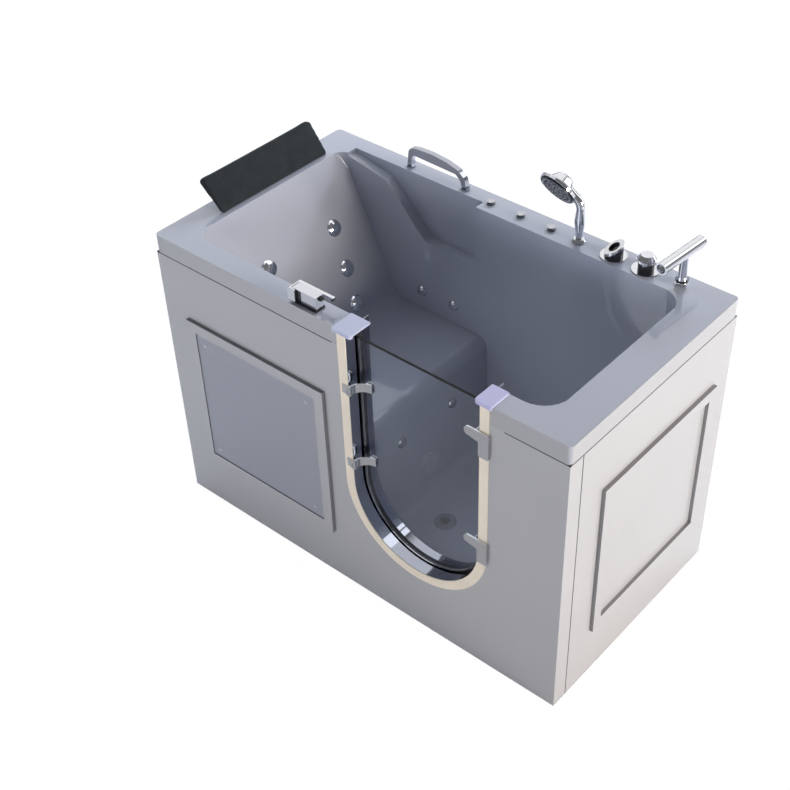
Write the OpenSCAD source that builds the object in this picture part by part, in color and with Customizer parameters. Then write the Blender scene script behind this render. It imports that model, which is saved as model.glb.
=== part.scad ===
// Walk-in bathtub: acrylic tub on a steel frame, outward-opening glass door, massage jets, deck fittings.
// The origin is on the floor, at the centre of the footprint. The door faces -Y and the seat is at -X.

/* [Tub] */
// Length of the tub along X
tub_l = 1500; // [1400:10:1700]
// Width of the tub along Y
tub_w = 800; // [780:5:850]
// Height of the rim's top above the floor
rim_h = 1010; // [960:5:1060]
// Thickness of the acrylic shell
shell_t = 8; // [5:0.5:10]
// Height of the rim's fascia
fascia_h = 60; // [45:1:80]
// Radius of the rim's outer corners
rim_corner_r = 14; // [9:1:25]

/* [Basin] */
// Rim width at the headrest end
rim_left = 95; // [85:1:110]
// Rim width at the foot end
rim_right = 115; // [100:1:130]
// Rim width along the door side
rim_front = 70; // [64:1:76]
// Width of the tap deck along the back
deck_w = 94; // [88:1:110]
// Extra basin width in the elbow recess
recess_d = 36; // [25:1:40]
// Height of the seat above the floor
seat_h = 545; // [500:5:580]
// Distance from the headrest end to the seat's front edge
seat_front_x = 698; // [640:1:710]
// Height of the footwell's floor above the ground
well_h = 110; // [104:1:140]
// Recline of the backrest from vertical
recline = 26.5; // [15:0.5:30]
// Height of the armrest ledge
armrest_h = 803; // [760:1:840]

/* [Door] */
// Distance from the headrest end to the doorway's centre line
door_x = 987; // [980:1:1010]
// Half width of the doorway
door_half = 231; // [200:1:235]
// Height of the doorway's round centre
door_arc_h = 469; // [450:1:520]
// Thickness of the door's glass
glass_t = 8; // [6:0.5:10]
// Gap round the edge of the glass
glass_gap = 6; // [5:0.5:9]
// Distance from the tub's front to the outer face of the glass
glass_y = 42; // [38:0.5:46]
// Distance from the rim's top down to the top edge of the glass
glass_drop = 42; // [30:1:70]
// Width of the flange round the doorway
flange_w = 31; // [26:1:34]
// Thickness of the flange
flange_t = 2.5; // [2:0.1:4]
// Depth of the steel reveal
reveal_d = 96; // [92:1:104]
// Heights of the hinges
hinge_z = [534, 810];
// Heights of the latch spindles
latch_z = [502, 898];

/* [Panels] */
// Thickness of the skirt panels
panel_t = 6; // [4:0.5:9]
// Outer size of the raised frames
trim_size = 560; // [480:1:580]
// Width of a raised frame's bar
trim_bar = 36; // [25:1:45]
// How far a raised frame stands out
trim_t = 11; // [8:0.5:14]
// Height of the raised frames' lower edge
trim_z = 190; // [160:1:220]

/* [Deck fittings] */
// Pitch of the fittings along the tap deck
deck_pitch = 113; // [105:1:118]
// Distance from the headrest end to the first air button
button_x = 666; // [660:1:690]
// Distance from the back of the tub to the row of fittings
fitting_back = 48; // [44:1:52]
// Outer diameter of an air button's sleeve
button_d = 27; // [24:0.5:32]
// Travel of an air button
button_travel = 4; // [2:0.5:5]
// Diameter of the hand shower's head
shower_head_d = 124; // [110:1:130]
// Height of the hand shower's straight handle above the deck
shower_handle_h = 104; // [98:1:112]
// Diameter of the spout's tube
spout_d = 36; // [28:1:40]
// Reach of the spout in front of its post
spout_reach = 112; // [90:1:140]
// Height of the spout's tube above the deck
spout_h = 108; // [90:1:140]

/* [Headrest] */
// Length of the headrest along Y
rest_l = 446; // [380:1:480]
// Height of the headrest
rest_h = 90; // [75:1:100]

/* [Hidden] */

// Smoothness of round parts, and how far every cut runs past its face
round_fn = 72;
small_fn = 32;
fillet_steps = 7;
over = 1;
// Clearance of a running fit and of loose fits
run_gap = 0.05;
loose_gap = 0.3;

// Places measured from the headrest end and from the front of the tub
function from_left(d) = d - tub_l / 2;
function from_front(d) = d - tub_w / 2;
function from_back(d) = tub_w / 2 - d;
function from_rim(d) = rim_h - d;
// Places that stretch with the tub's length, width or height are given for a tub of these base sizes
base_l = 1500;
base_w = 800;
base_h = 1010;
function along(d) = d * tub_l / base_l - tub_l / 2;
function across(d) = d * tub_w / base_w - tub_w / 2;
function up(d) = d * rim_h / base_h;
hinge_at = [for (z = hinge_z) up(z)];
latch_at = [for (z = latch_z) up(z)];
glass_top = from_rim(glass_drop);

// Rounded outlines: each corner of a path becomes an arc of its own radius
function unit(v) = v / norm(v);
function turn(a, b) = a.x * b.y - a.y * b.x;
function short_way(d) = d > 180 ? d - 360 : (d < -180 ? d + 360 : d);
function corner(p, q, s, r) =
    r <= 0 ? [q] :
    let(a = unit(p - q), b = unit(s - q), half = acos(a * b) / 2,
        c = q + unit(a + b) * r / sin(half),
        from = q + a * r / tan(half) - c, to = q + b * r / tan(half) - c,
        start = atan2(from.y, from.x), sweep = short_way(atan2(to.y, to.x) - start))
    [for (i = [0 : fillet_steps]) c + r * [cos(start + sweep * i / fillet_steps),
                                           sin(start + sweep * i / fillet_steps)]];
function rounded(pts, radii) =
    let(n = len(pts))
    [for (i = [0 : n - 1]) each corner(pts[(i + n - 1) % n], pts[i], pts[(i + 1) % n], radii[i])];
// The same path with every edge moved out by d, for a path that runs anticlockwise
function edge_normal(p, q) = let(u = unit(q - p)) [u.y, -u.x];
function grown(pts, d) =
    let(n = len(pts))
    [for (i = [0 : n - 1])
        let(a = edge_normal(pts[(i + n - 1) % n], pts[i]), b = edge_normal(pts[i], pts[(i + 1) % n]))
        pts[i] + (a + b) * d / (1 + a * b)];
function grown_radii(pts, radii, d) =
    let(n = len(pts))
    [for (i = [0 : n - 1])
        let(bend = turn(pts[i] - pts[(i + n - 1) % n], pts[(i + 1) % n] - pts[i]))
        radii[i] <= 0 ? 0 : max(radii[i] + (bend > 0 ? d : -d), 0)];

// Outlines drawn in XZ or YZ and pushed along Y or X
module along_y(a, b) {
    translate([0, b, 0]) rotate([90, 0, 0]) linear_extrude(b - a) children();
}
module along_x(a, b) {
    translate([a, 0, 0]) rotate([90, 0, 90]) linear_extrude(b - a) children();
}
module along_z(a, b) {
    translate([0, 0, a]) linear_extrude(b - a) children();
}
// A block between two opposite corners
module block(lo, hi) {
    translate(lo) cube(hi - lo);
}
// A rod between two points
module rod(p, q, r) {
    v = q - p;
    translate(p) rotate([0, acos(v.z / norm(v)), atan2(v.y, v.x)])
        cylinder(h = norm(v), r = r, $fn = small_fn);
}
// A bent pipe through a list of points, with round elbows
module pipe(pts, r) {
    for (i = [0 : len(pts) - 2]) rod(pts[i], pts[i + 1], r);
    for (i = [1 : 1 : len(pts) - 2]) translate(pts[i]) sphere(r = r, $fn = small_fn);
}

// Tub shell
skirt_t = 6;
rim_under = rim_h - shell_t;
fascia_z = rim_h - fascia_h;
well_riser_lean = 18;
foot_wall_lean = 47;
front_wall_lean = 14;
front_lip_drop = 26;
front_lip_run = 14;
back_wall_lean = 16;
basin_x0 = from_left(rim_left);
basin_x1 = tub_l / 2 - rim_right;
basin_y0 = from_front(rim_front);
basin_y1 = tub_w / 2 - deck_w;
recess_y = basin_y1 + recess_d;
seat_back_x = basin_x0 + tan(recline) * (rim_h - seat_h);
seat_edge_x = along(seat_front_x);
well_x0 = seat_edge_x + well_riser_lean;
well_x1 = basin_x1 - foot_wall_lean;
well_y0 = basin_y0 + front_lip_run + front_wall_lean;
well_y1 = basin_y1 - back_wall_lean;
cut_top = rim_h + over;
side_pts = [[basin_x0 - tan(recline) * over, cut_top], [seat_back_x, seat_h], [seat_edge_x, seat_h],
    [well_x0, well_h], [well_x1, well_h], [basin_x1 + foot_wall_lean * over / (rim_h - well_h), cut_top]];
seat_back_r = 50;
seat_edge_r = 40;
well_toe_r = 50;
well_heel_r = 90;
side_radii = [0, seat_back_r, seat_edge_r, well_toe_r, well_heel_r, 0];
lip_y = basin_y0 + front_lip_run;
end_pts = [[basin_y0, cut_top], [basin_y0, rim_h - over], [lip_y, rim_h - front_lip_drop],
    [well_y0, well_h], [well_y1, well_h], [basin_y1 + back_wall_lean * over / (rim_h - well_h), cut_top]];
lip_r = 20;
well_side_r = 60;
end_radii = [0, 0, lip_r, well_side_r, well_side_r, 0];
plan_margin = over;
plan_pts = [[basin_x0 - plan_margin, basin_y0], [basin_x1 + plan_margin, basin_y0],
    [basin_x1 + plan_margin, basin_y1 + plan_margin], [basin_x0 - plan_margin, basin_y1 + plan_margin]];
plan_radii = [55, 85, 75, 45];
// Elbow recess in the back wall: a ledge that climbs along the backrest
recess_back = 54;
recess_x1 = seat_edge_x - recess_back;
ledge_at_x = 445;
ledge_x = along(ledge_at_x);
ledge_top_at_x = 285;
ledge_top_x = along(ledge_top_at_x);
ledge_top_drop = 42;
ledge_top_z = from_rim(ledge_top_drop);
ledge_end_in = 30;
ledge_end_x = basin_x0 + ledge_end_in;
ledge_rise = 12;
recess_depth_in = 20;
recess_pts = [[recess_x1, cut_top], [ledge_end_x, cut_top], [ledge_end_x, from_rim(ledge_rise)],
    [ledge_top_x, ledge_top_z], [ledge_x, armrest_h], [recess_x1, armrest_h]];
recess_radii = [0, 0, 0, 24, 30, 18];
module grown_outline(pts, radii, d) {
    polygon(rounded(grown(pts, d), grown_radii(pts, radii, d)));
}
module basin_space(d) {
    intersection() {
        along_y(from_front(0), tub_w / 2) grown_outline(side_pts, side_radii, d);
        along_x(from_left(0), tub_l / 2) grown_outline(end_pts, end_radii, d);
        along_z(well_h - d - over, cut_top) grown_outline(plan_pts, plan_radii, d);
    }
}
module recess_space(d) {
    along_y(basin_y1 - recess_depth_in, recess_y + d) grown_outline(recess_pts, recess_radii, d);
}
module rim_outline(d) {
    pts = [[from_left(0) + d, from_front(0) + d], [tub_l / 2 - d, from_front(0) + d],
        [tub_l / 2 - d, tub_w / 2 - d], [from_left(0) + d, tub_w / 2 - d]];
    r = rim_corner_r - d;
    polygon(rounded(pts, [r, r, r, r]));
}
// The doorway as a flat outline: a half round below two upright sides
door_cx = along(door_x);
module doorway(half, top) {
    translate([door_cx, door_arc_h]) circle(r = half, $fn = round_fn);
    translate([door_cx - half, door_arc_h]) square([half * 2, top - door_arc_h]);
}
reveal_t = 2;
door_cut_half = door_half + reveal_t;

// Jets: places of the faces along the backrest, the back wall and the riser
jet_r = 28;
jet_stem_r = 14;
jet_hole_r = jet_stem_r + loose_gap;
jet_dome_h = 12;
jet_tail = 34;
jet_nut_r = 20;
jet_nut_t = 8;
jet_mid_at_y = 410;
jet_mid_y = across(jet_mid_at_y);
backrest_jet_drops = [184, 305, 410];
backrest_jet_halves = [146, 131, 114];
side_jet_at = [430, 562];
side_jet_x = [for (d = side_jet_at) along(d)];
side_jet_z = 612;
riser_jet_z = 398;
riser_jet_half = 123;
riser_mid_y = (well_y0 + well_y1) / 2;
function back_wall_y(z) = basin_y1 - back_wall_lean * (rim_h - z) / (rim_h - well_h);
function riser_x(z) = seat_edge_x + well_riser_lean * (seat_h - z) / (seat_h - well_h);
riser_tilt = atan(well_riser_lean / (seat_h - well_h));
back_tilt = atan(back_wall_lean / (rim_h - well_h));
foot_tilt = atan(foot_wall_lean / (rim_h - well_h));
front_tilt = atan(front_wall_lean / (rim_h - front_lip_drop - well_h));
// Put children, drawn along +Z out of a wall, on the backrest, the back wall, the riser or the foot wall
module on_backrest(y, drop) {
    translate([basin_x0 + tan(recline) * drop, y, rim_h - drop]) rotate([0, 90 - recline, 0]) children();
}
module on_back_wall(x, z) {
    translate([x, back_wall_y(z), z]) rotate([90 - back_tilt, 0, 0]) children();
}
module on_riser(y, z) {
    translate([riser_x(z), y, z]) rotate([0, 90 - riser_tilt, 0]) children();
}
module on_foot_wall(y, z) {
    translate([basin_x1 - foot_wall_lean * (rim_h - z) / (rim_h - well_h), y, z])
        rotate([0, -90 + foot_tilt, 0]) children();
}
module each_backrest_jet() {
    for (i = [0 : len(backrest_jet_drops) - 1], s = [-1, 1])
        on_backrest(jet_mid_y + s * backrest_jet_halves[i], backrest_jet_drops[i]) children();
}
module each_side_jet() {
    for (x = side_jet_x) on_back_wall(x, side_jet_z) children();
}
module each_riser_jet() {
    for (s = [-1, 1]) on_riser(riser_mid_y + s * riser_jet_half, riser_jet_z) children();
}
module wall_hole(r) {
    translate([0, 0, -shell_t * 2]) cylinder(h = shell_t * 3, r = r, $fn = small_fn);
}
grille_z = 235;
grille_r = 38;
grille_hole_r = 24;
overflow_at_y = 388;
overflow_y = across(overflow_at_y);
overflow_drop = 105;
overflow_z = from_rim(overflow_drop);
overflow_r = 34;
overflow_hole_r = 26;
drain_at_x = 845;
drain_x = along(drain_at_x);
drain_at_y = 309;
drain_y = across(drain_at_y);
drain_r = 36;
drain_hole_r = 27;

// Deck fittings: their places along the tap deck
deck_z = rim_h;
row_y = from_back(fitting_back);
button_places = [for (i = [0 : 2]) along(button_x + i * deck_pitch)];
shower_at_x = 990;
shower_x = along(shower_at_x);
diverter_at_x = 1112;
diverter_x = along(diverter_at_x);
mixer_at_x = 1222;
mixer_x = along(mixer_at_x);
spout_at_x = 1340;
spout_x = along(spout_at_x);
tap_y = row_y;
button_hole_r = 10;
shower_hole_r = 16;
tap_hole_r = 15;
stem_gap = loose_gap;
nut_t = 8;
// A threaded stem down through the deck, with a nut of the given radius under it
module deck_stem(r, nut_r) {
    translate([0, 0, -shell_t - nut_t]) cylinder(h = shell_t + nut_t, r = r, $fn = small_fn);
    translate([0, 0, -shell_t - nut_t]) cylinder(h = nut_t, r = nut_r, $fn = 6);
}
module deck_hole(x, y, r) {
    translate([x, y, rim_under - over]) cylinder(h = shell_t + over * 2, r = r, $fn = small_fn);
}

module tub_shell() {
    color([0.90, 0.91, 0.93])
    difference() {
        union() {
            difference() {
                along_z(fascia_z, rim_h) rim_outline(0);
                along_z(fascia_z - over, rim_under) rim_outline(skirt_t);
            }
            intersection() {
                union() {
                    basin_space(shell_t);
                    recess_space(shell_t);
                }
                along_z(0, rim_h) rim_outline(skirt_t);
            }
        }
        basin_space(0);
        recess_space(0);
        along_y(from_front(0) - over, from_front(reveal_d) + over) doorway(door_cut_half, cut_top);
        each_backrest_jet() wall_hole(jet_hole_r);
        each_side_jet() wall_hole(jet_hole_r);
        each_riser_jet() wall_hole(jet_hole_r);
        on_riser(riser_mid_y, grille_z) wall_hole(grille_hole_r + loose_gap);
        on_foot_wall(overflow_y, overflow_z) wall_hole(overflow_hole_r + loose_gap);
        translate([drain_x, drain_y, well_h - shell_t - over])
            cylinder(h = shell_t + over * 2, r = drain_hole_r + loose_gap, $fn = small_fn);
        for (x = button_places) deck_hole(x, row_y, button_hole_r + stem_gap);
        deck_hole(shower_x, row_y, shower_hole_r + stem_gap);
        deck_hole(diverter_x, tap_y, tap_hole_r + stem_gap);
        deck_hole(mixer_x, tap_y, tap_hole_r + stem_gap);
        deck_hole(spout_x, row_y, tap_hole_r + stem_gap);
    }
}

// Skirt panels
panel_bottom = 5;
seam = 1.5;
panel_top = fascia_z - seam;
return_w = 57;
merge_left_reach = 285;
merge_left_x = door_cx - merge_left_reach;
merge_right_reach = 309;
merge_right_x = door_cx + merge_right_reach;
access_margin = 22;
trim_in = trim_size - trim_bar * 2;
front_trim_at_x = 97;
front_trim_x = along(front_trim_at_x);
access_hole = trim_in - access_margin * 2;
end_trim_at_y = 164;
end_trim_y = across(end_trim_at_y);
panel_depth_y = tub_w - return_w - seam;
module square_at(x, z, size) {
    translate([x, z]) square(size);
}
module front_panel() {
    color([0.86, 0.87, 0.89])
    difference() {
        union() {
            along_y(from_front(0), from_front(panel_t)) difference() {
                union() {
                    square_at(from_left(0), panel_bottom, [tub_l, panel_top - panel_bottom]);
                    square_at(merge_left_x, panel_bottom,
                        [merge_right_x - merge_left_x, fascia_z - panel_bottom]);
                }
                square_at(front_trim_x + trim_bar + access_margin,
                    trim_z + trim_bar + access_margin, [access_hole, access_hole]);
            }
            for (x = [from_left(0), tub_l / 2 - panel_t])
                block([x, from_front(0), panel_bottom], [x + panel_t, from_front(return_w), panel_top]);
        }
        along_y(from_front(0) - over, from_front(panel_t) + over) doorway(door_cut_half, fascia_z + over);
    }
}
// Two battens on the back of each end panel stand against the frame: one along its low cross-member and
// one up its back leg
batten_z0 = 150;
batten_z1 = 900;
module end_panel(s) {
    y0 = from_front(return_w + seam);
    y1 = y0 + panel_depth_y;
    outer = s * tub_l / 2;
    back = s * (tub_l / 2 - panel_t);
    inner = s * (tub_l / 2 - frame_inset + frame_seat);
    block([min(outer, back), y0, panel_bottom], [max(outer, back), y1, panel_top]);
    block([min(outer, inner), y0, rail_z], [max(outer, inner), frame_y1, rail_top]);
    block([min(outer, inner), frame_y1, batten_z0], [max(outer, inner), frame_y1 + tube, batten_z1]);
}
module right_end_panel() {
    color([0.89, 0.89, 0.88]) end_panel(1);
}
module left_end_panel() {
    color([0.86, 0.87, 0.89]) end_panel(-1);
}
module trim_ring(x) {
    difference() {
        square_at(x, trim_z, [trim_size, trim_size]);
        square_at(x + trim_bar, trim_z + trim_bar, [trim_in, trim_in]);
    }
}
module front_trim_frame() {
    color([0.86, 0.87, 0.89]) along_y(from_front(-trim_t), from_front(0)) trim_ring(front_trim_x);
}
module right_trim_frame() {
    color([0.89, 0.89, 0.88]) along_x(tub_l / 2, tub_l / 2 + trim_t) trim_ring(end_trim_y);
}
module left_trim_frame() {
    color([0.86, 0.87, 0.89]) along_x(-tub_l / 2 - trim_t, -tub_l / 2) trim_ring(end_trim_y);
}

// Access panel, screwed on inside the front raised frame
access_gap = 0.5;
access_t = 7.5;
screw_inset = 34;
screw_head_r = 5;
screw_head_t = 2;
screw_r = 2.5;
screw_l = 10;
access_lo = trim_bar + access_gap;
access_size = trim_in - access_gap * 2;
module each_access_screw() {
    near = trim_bar + screw_inset;
    for (x = [near, trim_size - near], z = [near, trim_size - near])
        translate([front_trim_x + x, from_front(-access_t), trim_z + z]) rotate([90, 0, 0]) children();
}
module access_panel() {
    color([0.50, 0.53, 0.58])
    difference() {
        along_y(from_front(-access_t), from_front(0))
            square_at(front_trim_x + access_lo, trim_z + access_lo, [access_size, access_size]);
        each_access_screw() translate([0, 0, -access_t - over])
            cylinder(h = access_t + over * 2, r = screw_r + loose_gap, $fn = small_fn);
    }
}
module access_screws() {
    color([0.7, 0.71, 0.73])
    each_access_screw() {
        cylinder(h = screw_head_t, r = screw_head_r, $fn = small_fn);
        translate([0, 0, -access_t]) cylinder(h = access_t, r = screw_r, $fn = small_fn);
    }
}

// Door frame: flange on the front, steel reveal through the wall, and the rubber gasket behind the glass
flange_top = rim_h - 8;
module door_flange() {
    color([0.85, 0.81, 0.74])
    along_y(from_front(-flange_t), from_front(0)) difference() {
        doorway(door_half + flange_w, flange_top);
        doorway(door_half, flange_top + over);
    }
}
module door_reveal() {
    color([0.78, 0.79, 0.82])
    along_y(from_front(0), from_front(reveal_d)) difference() {
        doorway(door_cut_half, rim_h);
        doorway(door_half, cut_top);
    }
}
gasket_w = 10;
gasket_t = 12;
gasket_y = glass_y + glass_t + loose_gap;
module door_gasket() {
    color([0.06, 0.06, 0.06])
    along_y(from_front(gasket_y), from_front(gasket_y + gasket_t)) difference() {
        doorway(door_half, glass_top - over);
        doorway(door_half - gasket_w, glass_top);
    }
}
// Caps over the ends of the door frame, on the rim
cap_t = 6;
cap_lip_h = 12;
cap_back = 69;
cap_left_front = 14;
cap_right_front = 8;
cap_left_w = 69;
cap_right_w = 55;
cap_left_reach = 269;
cap_left_x = door_cx - cap_left_reach;
cap_right_reach = 216;
cap_right_x = door_cx + cap_right_reach;
cap_corner_r = 8;
cap_soft_r = 2;
module rim_cap(x, w, front, radii) {
    pts = [[x, from_front(-front)], [x + w, from_front(-front)], [x + w, from_front(cap_back)],
        [x, from_front(cap_back)]];
    difference() {
        along_z(rim_h - cap_lip_h + cap_t, rim_h + cap_t) polygon(rounded(pts, radii));
        block([x - over, from_front(-flange_t), rim_h - cap_lip_h],
            [x + w + over, from_front(cap_back) + over, rim_h]);
    }
}
module rim_cap_left() {
    color([0.72, 0.73, 0.80])
        rim_cap(cap_left_x, cap_left_w, cap_left_front, [cap_soft_r, cap_corner_r, cap_soft_r, cap_soft_r]);
}
module rim_cap_right() {
    color([0.68, 0.67, 0.82])
        rim_cap(cap_right_x, cap_right_w, cap_right_front,
            [cap_corner_r, cap_soft_r, cap_soft_r, cap_soft_r]);
}

// Door: glass plate on two strap hinges, pinned in front of the flange
glass_half = door_half - glass_gap;
barrel_r = 5.5;
pin_r = 3;
pivot_gap = 1.5;
pivot_x = door_cx - door_half + barrel_r + pivot_gap;
pivot_out = 4;
pivot_y = from_front(-pivot_out);
strap_h = 30;
strap_t = 4;
knuckle_h = 7;
knuckle_gap = 0.3;
leaf_w = 20;
leaf_t = 3;
strap_r = from_front(glass_y) - pivot_y - strap_t / 2;
strap_cx = pivot_x + strap_r;
pad_w = 20;
clamp_t = 3;
clamp_screw_r = 3;
clamp_screw_dz = 8;
clamp_head_t = 2.5;
clamp_x = strap_cx - pad_w / 2;
latch_edge = 13;
latch_x = door_cx + glass_half - latch_edge;
spindle_r = 4;
spindle_hole_r = spindle_r + run_gap;
module each_hinge() {
    for (z = hinge_at) translate([0, 0, z]) children();
}
module door_glass() {
    color([0.75, 0.82, 0.85, 0.35])
    difference() {
        along_y(from_front(glass_y), from_front(glass_y + glass_t)) doorway(glass_half, glass_top);
        for (z = latch_at) translate([latch_x, from_front(glass_y) - over, z]) rotate([-90, 0, 0])
            cylinder(h = glass_t + over * 2, r = spindle_hole_r, $fn = small_fn);
        each_hinge() for (dz = [-clamp_screw_dz, clamp_screw_dz])
            translate([clamp_x, from_front(glass_y) - over, dz]) rotate([-90, 0, 0])
            cylinder(h = glass_t + over * 2, r = clamp_screw_r + loose_gap, $fn = small_fn);
    }
}
module hinge_leaves() {
    color([0.62, 0.62, 0.61])
    each_hinge() difference() {
        union() {
            block([door_cx - door_half - leaf_w, from_front(-flange_t - leaf_t), -strap_h / 2],
                [door_cx - door_half, from_front(-flange_t), strap_h / 2]);
            for (z = [-strap_h / 2, strap_h / 2 - knuckle_h]) translate([0, 0, z]) {
                translate([pivot_x, pivot_y, 0]) cylinder(h = knuckle_h, r = barrel_r, $fn = small_fn);
                block([door_cx - door_half - leaf_t, pivot_y - barrel_r, 0],
                    [pivot_x, from_front(-flange_t), knuckle_h]);
            }
        }
        translate([pivot_x, pivot_y, -strap_h / 2 - over])
            cylinder(h = strap_h + over * 2, r = pin_r, $fn = small_fn);
    }
}
pin_head_r = 4.5;
pin_head_t = 1.5;
module hinge_pins() {
    color([0.55, 0.55, 0.54])
    each_hinge() translate([pivot_x, pivot_y, -strap_h / 2]) {
        cylinder(h = strap_h, r = pin_r, $fn = small_fn);
        for (z = [-pin_head_t, strap_h]) translate([0, 0, z])
            cylinder(h = pin_head_t, r = pin_head_r, $fn = small_fn);
    }
}
neck_r = barrel_r + over;
module hinge_straps() {
    color([0.66, 0.66, 0.63])
    each_hinge() difference() {
        union() {
            translate([pivot_x, pivot_y, -strap_h / 2 + knuckle_h + knuckle_gap])
                cylinder(h = strap_h - (knuckle_h + knuckle_gap) * 2, r = barrel_r, $fn = small_fn);
            translate([0, 0, -strap_h / 2]) difference() {
                linear_extrude(strap_h) {
                    intersection() {
                        translate([strap_cx, pivot_y]) difference() {
                            circle(r = strap_r + strap_t / 2, $fn = round_fn);
                            circle(r = strap_r - strap_t / 2, $fn = round_fn);
                        }
                        translate([pivot_x - barrel_r, pivot_y])
                            square([strap_r + barrel_r, strap_r + strap_t]);
                    }
                    translate([strap_cx - pad_w, from_front(glass_y) - strap_t]) square([pad_w, strap_t]);
                }
                for (z = [-over, strap_h - knuckle_h - knuckle_gap]) translate([pivot_x, pivot_y, z])
                    cylinder(h = knuckle_h + knuckle_gap + over, r = neck_r, $fn = small_fn);
            }
        }
        translate([pivot_x, pivot_y, -strap_h / 2 - over])
            cylinder(h = strap_h + over * 2, r = pin_r + run_gap, $fn = small_fn);
    }
}
module hinge_clamps() {
    color([0.60, 0.60, 0.60])
    each_hinge() {
        block([clamp_x - pad_w / 2, from_front(glass_y + glass_t), -strap_h / 2],
            [clamp_x + pad_w / 2, from_front(glass_y + glass_t + clamp_t), strap_h / 2]);
        for (dz = [-clamp_screw_dz, clamp_screw_dz])
            translate([clamp_x, from_front(glass_y), dz]) rotate([-90, 0, 0])
            cylinder(h = glass_t + clamp_t + clamp_head_t, r = clamp_screw_r, $fn = small_fn);
    }
}

// Latches: a lever in front of the flange, on a spindle through the glass
latch_out = 10;
lever_y = from_front(-latch_out);
lever_t = 6;
lever_clear = 1.5;
arm_h = 35;
arm_tip_h = 26;
blade_x0 = 20;
blade_x1 = 54;
blade_drop = 66;
arm_top = 18;
inner_knob_r = 8;
inner_knob_t = 8;
arm_reach = 27;
blade_soft_r = 4;
arm_soft_r = 12;
module latch(z) {
    translate([latch_x, 0, z]) {
        along_y(lever_y, lever_y + lever_t)
            polygon(rounded([[-arm_reach, arm_top - arm_tip_h], [blade_x0, arm_top - arm_h],
                [blade_x0, -blade_drop], [blade_x1, -blade_drop], [blade_x1, arm_top], [-arm_reach, arm_top]],
                [arm_soft_r, 0, blade_soft_r, blade_soft_r, blade_soft_r, arm_soft_r]));
        translate([0, lever_y + lever_t, 0]) rotate([-90, 0, 0])
            cylinder(h = from_front(glass_y + glass_t) - lever_y - lever_t, r = spindle_r, $fn = small_fn);
        translate([0, from_front(glass_y + glass_t) + loose_gap, 0]) rotate([-90, 0, 0])
            cylinder(h = inner_knob_t, r = inner_knob_r, $fn = round_fn);
        translate([0, from_front(glass_y + glass_t), 0]) rotate([-90, 0, 0])
            cylinder(h = loose_gap, r = spindle_r, $fn = small_fn);
    }
}
module latch_upper() {
    color([0.66, 0.66, 0.63]) latch(latch_at[1]);
}
module latch_lower() {
    color([0.66, 0.66, 0.63]) latch(latch_at[0]);
}

// Headrest: a wedge cushion, pinched at its lower edge, with a crowned face and drawn-in ends
rest_at_y0 = 206;
rest_y0 = across(rest_at_y0);
rest_foot_at_x = 76;
rest_foot_x = from_left(rest_foot_at_x);
rest_face_run = 66;
rest_top_t = 28;
rest_edge_t = 10;
rest_back_drop = 12;
rest_lift = 0.3;
rest_stations = 22;
rest_side_steps = 6;
rest_crown = 5;
rest_end_r = 16;
rest_draw_share = 0.2;
rest_edge_r = 2.5;
rest_top_r = 9;
rest_pts = [[0, 0], [-rest_face_run, rest_h], [-rest_face_run - rest_top_t, rest_h - rest_back_drop],
    [-rest_edge_t, 0]];
rest_radii = [rest_edge_r, rest_top_r, rest_top_r, rest_edge_r];
rest_mid = (rest_pts[0] + rest_pts[1] + rest_pts[2] + rest_pts[3]) / 4;
rest_loop = rounded(rest_pts, rest_radii);
// Points along both long sides between the rounded corners, so that the crown can swell
function side_points(p, q) = [for (i = [1 : rest_side_steps]) p + (q - p) * i / (rest_side_steps + 1)];
function full_loop(loop, per) =
    [for (k = [0 : 3]) each concat([for (i = [0 : per - 1]) loop[k * per + i]],
        k % 2 == 1 ? [] : side_points(loop[k * per + per - 1], loop[((k + 1) % 4) * per]))];
rest_ring = full_loop(rest_loop, fillet_steps + 1);
face_out = [rest_h, rest_face_run] / norm([rest_h, rest_face_run]);
function face_share(p) = let(t = p.y / rest_h) max(0, 4 * t * (1 - t));
// Only the face swells out by the crown: the back stays flat on its supports
function crown_at(p) = turn(rest_pts[1], p - rest_mid) < 0 ? rest_crown : 0;
// How far an end's roundness draws the section in, at distance d from that end
function end_share(d) =
    d >= rest_end_r ? 1 : 1 - (1 - sqrt(1 - pow(1 - d / rest_end_r, 2))) * rest_draw_share;
function station_y(k) = rest_l * (1 - cos(180 * k / rest_stations)) / 2;
function rest_section(k) =
    let(y = station_y(k), m = end_share(min(y, rest_l - y)), run = 2 * y / rest_l - 1, swell = 1 - run * run)
    [for (p = rest_ring)
        let(q = rest_mid + (p - rest_mid) * m + face_out * crown_at(p) * swell * face_share(p))
        [rest_foot_x + q.x, rest_y0 + y, rim_h + rest_lift + q.y]];
module headrest() {
    n = len(rest_ring);
    pts = [for (k = [0 : rest_stations]) each rest_section(k)];
    sides = [for (k = [0 : rest_stations - 1], i = [0 : n - 1])
        let(a = k * n + i, b = k * n + (i + 1) % n) each [[a, b, a + n], [b, b + n, a + n]]];
    color([0.17, 0.19, 0.20])
        polyhedron(points = pts, faces = concat(sides, [[for (i = [n - 1 : -1 : 0]) i]],
            [[for (i = [0 : n - 1]) rest_stations * n + i]]), convexity = 4);
}
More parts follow.
